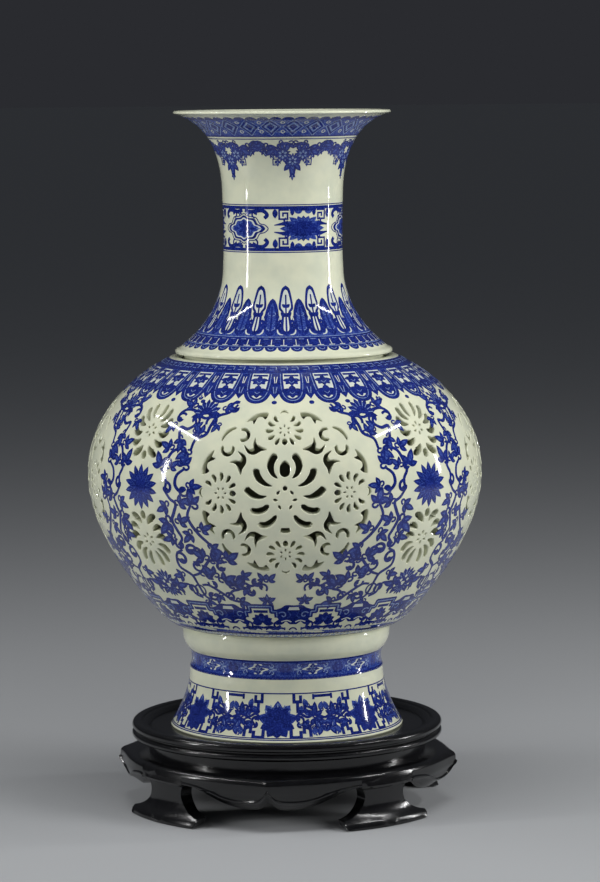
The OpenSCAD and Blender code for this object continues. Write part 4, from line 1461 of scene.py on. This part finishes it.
class BodyPainting:
    """Painting of the pierced body: shoulder lappets, lotus scrolls about the openings, and the lower
    border."""

    def __init__(self, form: VaseForm, palette: Palette, motifs: Motifs) -> None:
        """Keeps the form, the materials and the motifs."""
        self.form = form
        self.palette = palette
        self.motifs = motifs
        self.whole = Outline(np.vstack([form.bead_line, form.body.points]))

    def paint(self) -> None:
        """Paints every part."""
        for band, motif in (self.shoulder_fret(), self.lappets(), self.border(), self.hatching()):
            band.paint(motif, self.palette, "vase", "painted_body")
        self.scrolls()

    def band(self, name: str, low: float, high: float, repeats: int, turn: float = 0) -> Band:
        """Returns a band between two heights above the foot."""
        return Band(name, self.whole, self.form.seat + low, self.form.seat + high, repeats, turn)

    def shoulder_fret(self) -> tuple[Band, Drawing]:
        """Draws the fine fret round the mouth."""
        band = self.band("shoulder_fret", 237.0, 240.95, 72)
        w, h = band.width, band.height
        made = Drawing()
        made.box(-w / 2, w / 2, 0, h, Tone.DARK, 0)
        made.line([(-w * 0.3, h * 0.72), (w * 0.3, h * 0.72)], 0.5, Tone.PALE, 2)
        made.line([(w * 0.3, h * 0.72), (w * 0.3, h * 0.34)], 0.5, Tone.PALE, 2)
        made.line([(-w * 0.3, h * 0.34), (w * 0.1, h * 0.34)], 0.5, Tone.PALE, 2)
        return band, made

    def lappets(self) -> tuple[Band, Drawing]:
        """Draws the ring of U-shaped lappets that hang from the shoulder."""
        band = self.band("shoulder_lappets", 219.4, 237.0, 28, 3)
        w, h = band.width, band.height
        made = Drawing()
        made.box(-w / 2, w / 2, h - 2.4, h, Tone.DARK, 0)
        made.line([(-w / 2, h - 1.2), (w / 2, h - 1.2)], 0.5, Tone.MID, 2)

        def tongue(grow: float) -> Array:
            """Draws the U at a distance inside the outermost one."""
            half = cubic((w * 0.47 - grow, h - 1.5), (w * 0.46 - grow, h * 0.42),
                         (w * 0.40 - grow, grow + 0.4),
                         (0, grow + 0.2), 12)
            return np.vstack([half, half[-2::-1] * (-1, 1)])

        made.fill(tongue(0), Tone.DARK, 1)
        made.fill(tongue(2.2), Tone.PALE, 2)
        made.fill(tongue(2.7), Tone.DARK, 3)
        made.fill(tongue(4.1), Tone.WHITE, 4)
        for y, size in ((h * 0.32, 1.2), (h * 0.66, 1.05)):
            for angle in (-84, -42, 0, 42, 84):
                made.fill(turned(petal(5.6, 3.4), 180 + angle, size, (0, y + 2.0)), Tone.DARK, 5)
            made.fill(turned(petal(4.4, 3.4), 0, size, (0, y + 1.4)), Tone.DARK, 5)
            made.line([(-1.6, y + 0.6), (0, y - 1.2), (1.6, y + 0.6)], 0.5, Tone.PALE, 6)
        made.line([(-w * 0.24, h - 3.6), (w * 0.24, h - 3.6)], 2.0, Tone.DARK, 5)
        for half in (-1, 1):
            x = half * w / 2
            made.fill(np.array([(x, h * 0.14), (x - half * 3.4, h * 0.34), (x - half * 2.6, h * 0.95),
                                (x, h * 0.95)]),
                      Tone.DARK, 0)
            made.line([(x - half * 0.5, h * 0.3), (x - half * 1.2, h * 0.5)], 0.5, Tone.PALE, 2)
            made.line([(x - half * 0.4, h * 0.62), (x - half * 1.0, h * 0.84)], 0.5, Tone.WHITE, 2)
            made.fill(arc((x, h * 0.04), 1.5, 90 if half > 0 else -90, 270 if half > 0 else 90, 6), Tone.DARK,
                      1)
        return band, made

    def border(self) -> tuple[Band, Drawing]:
        """Draws the lower border: lotuses under key-fret brackets between cloud heads."""
        band = self.band("lower_border", 70.8, 92.6, 14, 3)
        w, h, m = band.width, band.height, self.motifs
        made = Drawing()
        made.line([(-w / 2, 0.5), (w / 2, 0.5)], 1.1, Tone.DARK, 3)
        made.box(-w / 2, w / 2, 0, 3.0, Tone.MID, 0)
        for k in range(5):
            at = (-w / 2 + (k + 0.5) * w / 5, 3.0)
            made.line(arc(at, 2.6, 20, 160, 8), 1.0, Tone.DARK, 2)
            made.line(arc(at, 1.4, 0, 180, 6), 0.7, Tone.WHITE, 3)
        made.stamp(m.cloud, (0, 9.5), 0, 1.0)
        for half in (-1, 1):
            x = half * w / 2
            for angle in (4, 34, 64, 94):
                made.fill(turned(petal(7.0, 4.2), half * angle, 1, (x, 9.6)), Tone.DARK, 2)
            made.fill(turned(petal(4.4, 1.4, 1), half * 20, 1, (x, 9.6)), Tone.MID, 3)
            path = np.array([(0, 21.2), (-6.6, 21.2), (-6.6, 17.6), (-9.4, 17.6),
                             (-9.4, 14.2)]) * (half, 1) + (x, 0)
            for a, b in zip(path, path[1:]):
                reach = 0.9 / max(math.dist(a, b), 1e-6)
                ends = np.array([share(a, b, -reach if a[0] != x else 0, -reach),
                                 share(a, b, 1 + reach, 1 + reach)])
                made.line(ends, 3.0, Tone.DARK, 2)
                made.line(np.array([a, b]), 0.7, Tone.PALE, 3)
            made.line([(x, 17.6), (x - half * 4.2, 17.6)], 1.8, Tone.DARK, 2)
            made.stamp(m.curl, (x - half * 9.4, 8.2), 30, 0.95, half < 0)
            made.line(smooth([(half * 8, 7.2), (half * 11.4, 5.6), (x - half * 5, 6.4), (x, 5.6)], 5), 1.6,
                      Tone.DARK, 2)
            made.line(smooth([(half * 5, 5.4), (half * 9.4, 4.6), (x - half * 6, 4.4), (x - half * 2, 5.0)],
                             5), 1.3,
                      Tone.MID, 1)
        bmesh.ops.scale(made.bm, vec=(1, h / 22.4, 1), verts=made.bm.verts)
        return band, made

    def hatching(self) -> tuple[Band, Drawing]:
        """Draws the narrow hatched band above the bead."""
        band = self.band("hatched_band", 67.3, 70.8, 90)
        w, h = band.width, band.height
        made = Drawing()
        made.box(-w / 2, w / 2, 0, h, Tone.PALE, 0)
        made.line([(-w / 2, h - 0.4), (w / 2, h - 0.4)], 0.6, Tone.DARK, 3)
        made.line([(-w / 2, 0.4), (w / 2, 0.4)], 0.8, Tone.DARK, 3)
        for k in (-0.25, 0.25):
            made.line([(k * w - 0.6, 0.6), (k * w + 0.6, h - 0.4)], 0.35, Tone.DARK, 2)
        return band, made

    def scrolls(self) -> None:
        """Draws the lotus scrolls that fill the belly between the openings, an eighth at a time."""
        m = self.motifs
        eighth = Drawing()
        stems = (
            [(-35, 59), (-40, 53), (-48, 50), (-52, 43), (-54, 37), (-61, 33), (-63, 26)],
            [(-50, 52), (-58, 48), (-67, 53), (-75, 54), (-80, 50), (-78, 45)],
            [(-67, 50), (-64, 44), (-69, 40), (-75, 41), (-74, 35), (-72, 30)],
            [(-68, 30), (-72, 27), (-77, 24), (-80, 18), (-82, 12), (-79, 6), (-80, 0)],
            [(-66, 14), (-71, 10), (-72, 4), (-68, 0), (-64, 2)],
            [(-80, 0), (-76, -5), (-72, -8), (-74, -14), (-76, -19), (-73, -26), (-71, -31), (-75, -36)],
            [(-61, -8), (-64, -15), (-62, -21), (-57, -28), (-52, -33), (-48, -38)],
            [(-66, -42), (-62, -37), (-58, -41), (-60, -47), (-67, -48)],
            [(-73, -39), (-79, -43), (-80, -52), (-72, -58), (-70, -64), (-67, -76), (-60, -78)],
            [(-72, -59), (-64, -56), (-58, -50), (-54, -46), (-50, -46)],
            [(-66, -66), (-60, -66), (-51, -72), (-43, -78), (-34, -79)],
            [(-84, -66), (-78, -67), (-76, -74), (-70, -77)],
            [(-48, -76), (-42, -70), (-36, -68), (-31, -63), (-26, -65), (-19, -62)],
            [(-36, -68), (-36, -60), (-32, -57)],
        )
        for points in stems:
            eighth.line(smooth(points, 5), 2.3, Tone.DARK, 2, (0.7, 0.8))
        curls = ((-36.5, 56.5, 150, 1.3, False), (-51.5, 46, -60, 1.25, True), (-77.5, 47.5, 120, 1.1, False),
                 (-65, 46.5, 10, 1.1, False), (-78.6, 1.6, 200, 1.1, True), (-66, 0.6, 60, 1.0, True),
                 (-73.6, -35.2, 200, 1.1, False), (-66.4, -39, 100, 1.25, False), (-76, -46, 210, 1.3, True),
                 (-64.5, -50.6, 30, 1.1, True), (-60.4, -74.6, 90, 1.2, True), (-56, -64.6, 250, 1.1, False),
                 (-76.6, -70, 20, 1.2, False), (-33.8, -59.6, -20, 1.1, False), (-22, -61.4, 120, 1.2, True),
                 (-26.4, -70, 200, 1.2, False), (-17.5, -66, 40, 1.0, False), (-44.8, -75.2, 230, 1.1, True),
                 (-45.6, -50.6, 140, 1.2, False))
        for x, y, turn, size, flip in curls:
            eighth.stamp(m.curl, (x, y), turn, 1.24 * size, flip)
        eighth.line(circle((-69.6, -70.6), 4.4, 20), 1.3, Tone.DARK, 2, closed=True)
        leaves = ((-43.5, 57, -110, 0.72, False), (-47, 44, 150, 0.6, True), (-58, 37, 40, 0.85, False),
                  (-65.5, 25.5, 130, 0.85, True), (-71, 56.5, 60, 0.85, False), (-82, 43, 150, 0.7, True),
                  (-71.5, 33, 170, 0.8, False), (-63.5, 40.5, -50, 0.62, False), (-79, 26.5, 60, 0.8, False),
                  (-84, 14.5, 20, 0.95, False), (-76.6, 14.5, -50, 0.7, True), (-66.5, 16, 10, 0.95, False),
                  (-61.4, 3, -80, 0.75, True), (-69.5, -8, -60, 0.8, True), (-79, -10, 110, 0.8, False),
                  (-78.6, -20.5, 130, 1.05, False), (-70.6, -20, -60, 0.8, True), (-60, -8, 10, 0.95, False),
                  (-55.4, -24.6, -60, 0.75, True), (-63.4, -27.5, 130, 0.8, False),
                  (-50.5, -37, -110, 0.85, True),
                  (-78, -31, 100, 0.8, False), (-57.4, -44.5, 50, 0.95, False),
                  (-49.5, -46.6, -30, 0.85, True),
                  (-60.6, -57.6, -60, 0.9, True), (-53.4, -57.4, 40, 0.95, False),
                  (-46.5, -62, -60, 1.0, True),
                  (-39, -66, -40, 1.05, True), (-40.6, -45.6, -50, 0.95, True), (-54, -73.4, 160, 0.8, True),
                  (-38, -79.5, -100, 0.9, True), (-31.4, -57.4, -70, 0.7, False),
                  (-12.8, -60.6, -40, 0.7, True),
                  (-16, -60.2, 30, 0.65, False), (-80.6, -59.6, 90, 0.8, False),
                  (-66.6, -79.6, -120, 0.7, False),
                  (-30, -66.4, 160, 0.7, True))
        for x, y, turn, size, flip in leaves:
            eighth.stamp(m.leaf, (x, y), turn, 1.2 * size, flip)
        eighth.stamp(m.blossom, (-58.5, 51.5), 8, 1.06)
        eighth.stamp(m.bud, (-75.5, 60.5), 60, 0.9)
        eighth.stamp(m.bud, (-68, 62), 10, 0.8)
        eighth.stamp(m.leaf, (-15, -78.4), 60, 0.8)
        eighth.stamp(m.leaf, (-15, -78.4), -60, 0.8, True)
        eighth.stamp(m.bud, (-15, -77.8), 0, 1.2)
        belly = Wrap(self.form.body, self.form.body.along_at(self.form.belly_z), self.form.belly_r)
        quarter = self.form.belly_r * math.pi / 2
        for k in range(4):
            made = Drawing()
            for flip in (False, True):
                made.stamp(eighth, (k * quarter, 0), 0, 1, flip)
            middle = (k + 0.5) * quarter
            made.stamp(m.lotus, (middle, 1.0), 0, 1.06)
            made.stamp(m.blossom, (middle, -66.5), 0, 1.0)
            made.stamp(m.blossom, (middle, -70.0), 180, 0.8)
            for side in (-1, 1):
                made.stamp(m.leaf, (middle + side * 9, -68.5), side * -78, 1.2, side > 0)
                made.stamp(m.curl, (middle + side * 9, -74.5), side * 60, 1.2, side < 0)
            for x, y in ((-3.4, -66), (3.4, -66), (0, -63), (0, -69.4)):
                made.fill(circle((middle + x, y), 1.2, 8), Tone.WHITE, 5)
            made.lay_on(belly, f"belly_scrolls_{k + 1}", self.palette, "vase")


# ---------------------------------------------------------------------------------------------------------
# The stand
# ---------------------------------------------------------------------------------------------------------

@dataclass
class Stand:
    """The jointed stand: moulded ring, panel, waist, and the carved frieze of four aprons and four legs."""

    palette: Palette
    turn: float = -6.7
    panel_r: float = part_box("stand_panel")[1].x / MM
    seat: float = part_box("stand_panel")[1].z / MM
    ring_low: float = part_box("stand_ring_1")[0].z / MM
    ring_top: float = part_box("stand_ring_1")[1].z / MM
    frieze_top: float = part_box("stand_apron_1")[1].z / MM
    ring_w: float = 12.5
    rebate_w: float = 7.0
    panel_t: float = 4.0
    frieze_r: float = 104.0
    wood: float = 10.0
    shoulder_w: float = 21.0
    arch_top: float = 25.4
    core_r: float = 92.0
    corner: float = 6.7

    def __post_init__(self) -> None:
        """Draws the two sections of the frieze, walked upwards."""
        top = self.frieze_top
        r = self.frieze_r
        shoulder = cubic((r, top - 5.2), (r, top - 1.8), (r - 2.4, top - 0.3), (r - 8, top), 10)
        self.apron_section = Outline(np.vstack([
            cubic((r - 6.5, 12.5), (r - 4.5, 15.0), (r - 2.2, 19.5), (r - 0.9, top - 11.2), 10),
            cubic((r - 0.9, top - 11.2), (r - 0.2, top - 10.4), (r, top - 9.6), (r, top - 9), 4), shoulder]))
        self.leg_section = Outline(np.vstack([
            [(r + 2.6, 0), (r + 3.2, 0.6), (r + 3.4, 1.8), (r + 2.7, 2.3), (r + 2.3, 2.9)],
            cubic((r + 2.6, 3.4), (r - 0.6, 6.4), (r - 3.6, 9.4), (r - 4.0, 13.6), 10),
            cubic((r - 4.0, 13.6), (r - 4.1, 17.0), (r - 4.0, 21.5), (r - 3.4, 24.6), 6),
            cubic((r - 2.4, 25.0), (r + 1.2, 25.2), (r + 1.3, 26.6), (r, 27.6), 8), shoulder]))

    def build(self) -> None:
        """Makes the rings, aprons and legs, and gives the carried-over pieces their finish."""
        for number in range(1, 5):
            self.ring(number)
            self.apron(number)
            self.leg(number)
        for name in ("stand_panel", "stand_waist", "stand_ring_dowels", "stand_apron_dowels"):
            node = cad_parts[name]
            dowel = name.endswith("dowels")
            node.data.materials.clear()
            node.data.materials.append(self.palette.dowel if dowel else self.palette.ebony)

    def heading(self, number: int) -> float:
        """Returns the angle of an apron's middle, in degrees from the front towards +X."""
        return self.turn + number * 90

    def ring(self, number: int) -> None:
        """Makes one of the four arcs of the moulded top ring."""
        low, top, out = self.ring_low, self.ring_top, self.panel_r + self.ring_w
        inner = self.panel_r - self.rebate_w
        section = np.vstack([
            [(inner, low), (out - 3, low)],
            cubic((out - 2, low + 0.4), (out + 0.7, low + 1.0), (out + 0.7, low + 4.0),
                  (out - 1.4, low + 4.6), 8),
            [(out - 2.2, low + 5.0), (out - 2.1, low + 5.7)],
            cubic((out - 1.4, low + 6.0), (out + 0.9, low + 6.6), (out + 0.6, top + 0.1), (out - 3.6, top),
                  12),
            cubic((out - 3.6, top), (out - 5.0, top), (out - 5.8, top - 0.1), (out - 6.4, top - 0.5), 4),
            [(out - 6.8, top - 1.1), (out - 7.4, top - 1.0)],
            cubic((out - 7.8, top - 0.7), (out - 9.4, top - 0.9), (self.panel_r + 1.4, self.seat + 1.6),
                  (self.panel_r + 0.2, self.seat + 0.4), 8),
            [(self.panel_r, self.seat), (self.panel_r, self.seat - self.panel_t),
             (inner, self.seat - self.panel_t)]])
        make_piece(f"ring_{number}", spun(section, 64, self.heading(number), 90), [self.palette.ebony],
                   "stand",
                   (f"stand_ring_{number}",), sharp=38)

    def carve(self, bm: bmesh.types.BMesh, section: Outline, number: int, shift: float) -> bmesh.types.BMesh:
        """Gives a board of the frieze its thickness and bends it round the frieze.

        Args:
            bm: Its carved face, laid flat: distances round the frieze, along its section and outwards.
            section: Its section.
            number: The apron that the board belongs to.
            shift: Degrees between that apron's middle and the board's.

        Returns:
            The carved board, closed, in metres.
        """
        for vert in bm.verts:
            vert.co.x += math.radians(shift) * self.frieze_r
        grown = bmesh.ops.extrude_face_region(bm, geom=bm.faces[:])["geom"]
        front = {v for v in grown if isinstance(v, bmesh.types.BMVert)}
        for vert in bm.verts:
            if vert not in front:
                vert.co.z = -self.wood
        bmesh.ops.recalc_face_normals(bm, faces=bm.faces)
        wrap_mesh(bm, Carving(section, self.heading(number), self.frieze_r, self.core_r, self.corner))
        bmesh.ops.recalc_face_normals(bm, faces=bm.faces)
        return bm

    def apron(self, number: int) -> None:
        """Makes an apron: a raised line that dips twice between its ends, over an undercut edge."""
        end = math.radians(45) * self.frieze_r - self.shoulder_w
        line = np.vstack([
            cubic((0, 27.0), (1.4, 25.0), (3.6, 20.2), (7.5, 19.4), 12),
            cubic((7.5, 19.4), (16.0, 18.0), (26.0, 18.6), (34.0, 21.8), 16)[1:],
            cubic((34.0, 21.8), (42.0, 25.2), (50.0, 27.0), (end, 27.1), 16)[1:]])
        low = np.vstack([
            cubic((0, 19.8), (1.6, 18.2), (5.0, 13.3), (9.5, 13.0), 12),
            cubic((9.5, 13.0), (18.0, 12.6), (28.0, 14.2), (36.0, 17.4), 16)[1:],
            cubic((36.0, 17.4), (44.0, 20.8), (52.0, 25.0), (end, 25.6), 16)[1:]])
        half = np.unique(np.concatenate([line[:, 0], np.linspace(0, end, 34)]))
        half = half[np.append(np.diff(half) > 0.25, True)]
        across = np.concatenate([-half[:0:-1], half])
        ridge = np.interp(np.abs(across), line[:, 0], line[:, 1])
        edge = np.interp(np.abs(across), low[:, 0], low[:, 1])
        section = self.apron_section
        top = section.run[-1]
        rows = [(edge, -4.6), (edge * 0.35 + ridge * 0.65, -2.2), (ridge - 0.4, -0.5), (ridge, 1.0),
                (ridge + 0.8, 1.1), (ridge + 1.7, 0.0)]
        laid = [(np.array([section.along_at(z) for z in heights]), level) for heights, level in rows]
        first = laid[-1][0]
        laid += [(first + (top - first) * part, 0.0) for part in np.linspace(0, 1, 15)[1:]]
        bm = bmesh.new()
        columns, last = len(across) - 1, len(laid) - 1
        bmesh.ops.create_grid(bm, x_segments=columns, y_segments=last, size=0.5)
        for vert in bm.verts:
            k = round((vert.co.x + 0.5) * columns)
            run, level = laid[round((vert.co.y + 0.5) * last)]
            vert.co = (across[k], run[k], level)
        make_piece(f"apron_{number}", self.carve(bm, section, number, 0), [self.palette.ebony],
                   "stand", (f"stand_apron_{number}",), sharp=40)

    @staticmethod
    def cut_above(bm: bmesh.types.BMesh, height: float, place: tuple[float, float, float],
                  normal: tuple[float, float, float], trim: bool) -> None:
        """Cuts the part of a flat board above a height along a plane.

        Args:
            bm: The board, laid flat.
            height: Height along its section that the cut stays above.
            place: A point of the plane.
            normal: The plane's normal.
            trim: Whether what lies beyond the plane is taken off.
        """
        high = [f for f in bm.faces if max(v.co.y for v in f.verts) > height + 1e-3]
        parts = dict.fromkeys([v for f in high for v in f.verts] + [e for f in high for e in f.edges] + high)
        bmesh.ops.bisect_plane(bm, geom=list(parts), dist=1e-4, plane_co=place, plane_no=normal,
                               clear_outer=trim)

    def leg(self, number: int) -> None:
        """Makes a leg: a wide shoulder over a broad shaft that spreads into two toes, with a raised edge."""
        section = self.leg_section
        half = np.vstack([
            [(0, 0), (27.0, 0)],
            cubic((27.0, 0), (31.4, 0), (33.6, 0.6), (33.8, 5.6), 7)[1:],
            cubic((33.8, 5.6), (29.0, 6.4), (17.4, 9.6), (16.4, 18.4), 14)[1:],
            cubic((16.4, 18.4), (16.0, 22.4), (18.2, 25.2), (22.0, 25.6), 7)[1:],
            [(35.0, 26.2), (35.0, self.frieze_top + 14)]])
        outline = np.vstack([half, half[:0:-1] * (-1, 1)])
        past = np.maximum(outline[:, 1] - self.frieze_top, 0)
        flat = np.column_stack([outline[:, 0], past + [section.along_at(z) for z in outline[:, 1]]])
        if PiercedBody.area(flat) < 0:
            flat = flat[::-1]
        bm = bmesh.new()
        face = bm.faces.new([bm.verts.new((x, y, -1.4)) for x, y in flat])
        for reach, level in ((1.0, -0.3), (0.4, 0.8), (0.6, 0.8), (0.6, 0.0)):
            bmesh.ops.inset_region(bm, faces=[face], thickness=reach, depth=0, use_even_offset=False)
            for vert in face.verts:
                vert.co.z = level
        bmesh.ops.triangulate(bm, faces=[face])
        arch = section.along_at(self.arch_top)
        for side in (1, -1):
            self.cut_above(bm, arch, (0, arch, 0), (0, 1, 0), False)
            self.cut_above(bm, arch, (side * self.shoulder_w, 0, 0), (side, 0, 0), True)
        self.cut_above(bm, arch, (0, section.run[-1], 0), (0, 1, 0), True)
        grid_cut(bm, 3.0)
        make_piece(f"leg_{number}", self.carve(bm, section, number, 45), [self.palette.ebony],
                   "stand", (f"stand_leg_{number}",), sharp=40)


# ---------------------------------------------------------------------------------------------------------
# The studio
# ---------------------------------------------------------------------------------------------------------

@dataclass(frozen=True)
class Softbox:
    """A soft light: a lit rectangle, in metres and watts."""

    name: str
    place: tuple[float, float, float]
    size: Pair
    power: float
    aim: tuple[float, float, float] = (0, 0, 0.25)
    colour: str = "#FFFFFF"
    glossy: bool = True

    def light(self) -> None:
        """Adds the light to the scene."""
        data = bpy.data.lights.new(self.name, "AREA")
        data.shape = "RECTANGLE"
        data.size, data.size_y = self.size
        data.energy = self.power
        data.color = linear(self.colour)[:3]
        lamp = bpy.data.objects.new(self.name, data)
        lamp.location = self.place
        lamp.visible_camera = False
        lamp.visible_glossy = self.glossy
        lamp.rotation_euler = (Vector(self.aim) - Vector(self.place)).to_track_quat("-Z", "Y").to_euler()
        bpy.context.scene.collection.objects.link(lamp)


class Studio:
    """Floor, light and camera."""

    LENS = 141.5
    DISTANCE = 2.242
    HEIGHT = 0.4709
    PITCH = 5.96
    FLOOR = 60
    FLOOR_DROP = 0.0002
    YAW = 0.256
    ROLL = 0.45

    def floor(self) -> None:
        """Lays a plain pale floor."""
        bm = bmesh.new()
        bmesh.ops.create_grid(bm, x_segments=1, y_segments=1, size=self.FLOOR)
        mesh = bpy.data.meshes.new("floor")
        bm.to_mesh(mesh)
        bm.free()
        made = bpy.data.materials.new("matt_backdrop_paper")
        made.use_nodes = True
        shader = made.node_tree.nodes["Principled BSDF"]
        shader.inputs["Base Color"].default_value = linear("#AEB0B2")
        shader.inputs["Roughness"].default_value = 0.75
        mesh.materials.append(made)
        floor = bpy.data.objects.new("floor", mesh)
        floor.location.z = -self.FLOOR_DROP
        bpy.context.scene.collection.objects.link(floor)

    def lights(self) -> None:
        """Lights the scene with a dim even surround and soft boxes."""
        world = bpy.data.worlds.new("studio")
        world.use_nodes = True
        tree = world.node_tree
        way = add_node(tree, "ShaderNodeTexCoord")
        parts = add_node(tree, "ShaderNodeSeparateXYZ", Vector=way.outputs["Generated"])
        height = add_node(tree, "ShaderNodeMapRange", {"From Min": 0.05, "From Max": 0.5},
                          Value=parts.outputs["Z"])
        mix = add_node(tree, "ShaderNodeMix", {"data_type": "RGBA"})
        mix.inputs[6].default_value = linear("#2A2B2F")
        mix.inputs[7].default_value = linear("#424448")
        tree.links.new(height.outputs["Result"], mix.inputs[0])
        tree.links.new(mix.outputs[2], tree.nodes["Background"].inputs["Color"])
        bpy.context.scene.world = world
        Softbox("key_softbox", (1.65, -0.9, 0.78), (0.8, 0.8), 18, glossy=False).light()
        Softbox("fill_softbox", (-1.65, -0.75, 0.66), (0.8, 0.8), 7.5, glossy=False).light()
        Softbox("table_softbox", (0.05, -0.42, 0.95), (0.6, 0.3), 3.1, (0.05, -0.3, 0), glossy=False).light()
        Softbox("left_strip", (-1.5, -0.5, 0.5), (0.02, 0.5), 5).light()
        Softbox("right_strip", (1.5, 0.2, 0.5), (0.02, 0.5), 5).light()
        Softbox("high_left_strip", (-1.05, -0.1, 1.15), (1.0, 0.016), 4).light()
        Softbox("high_right_strip", (1.1, -0.2, 1.15), (0.6, 0.016), 3).light()

    def camera(self) -> None:
        """Sets the camera level with the top of the vase, looking a little down."""
        data = bpy.data.cameras.new("camera")
        data.sensor_width = 36
        data.lens = self.LENS
        camera = bpy.data.objects.new("camera", data)
        turn = Matrix.Rotation(math.radians(-self.YAW), 4, "Z") \
            @ Matrix.Rotation(math.radians(90 - self.PITCH), 4, "X") \
            @ Matrix.Rotation(math.radians(-self.ROLL), 4, "Z")
        camera.matrix_world = Matrix.Translation((0, -self.DISTANCE, self.HEIGHT)) @ turn
        bpy.context.scene.collection.objects.link(camera)
        bpy.context.scene.camera = camera


def main() -> None:
    """Builds the vase and its stand and lights them."""
    logging.basicConfig(level=logging.INFO, format="%(message)s")
    bpy.context.scene.view_settings.view_transform = "Standard"
    studio = Studio()
    studio.camera()
    studio.floor()
    studio.lights()
    palette = Palette(Finishes())
    form = VaseForm()
    Neck(form, palette).shell()
    InnerVase(palette).dress()
    Foot(form, palette).shell()
    PiercedBody(form, palette).shell()
    Stand(palette).build()
    motifs = Motifs()
    NeckPainting(form, palette, motifs).paint()
    BodyPainting(form, palette, motifs).paint()
    FootPainting(form, palette, motifs).paint()


if __name__ == "__main__":
    main()
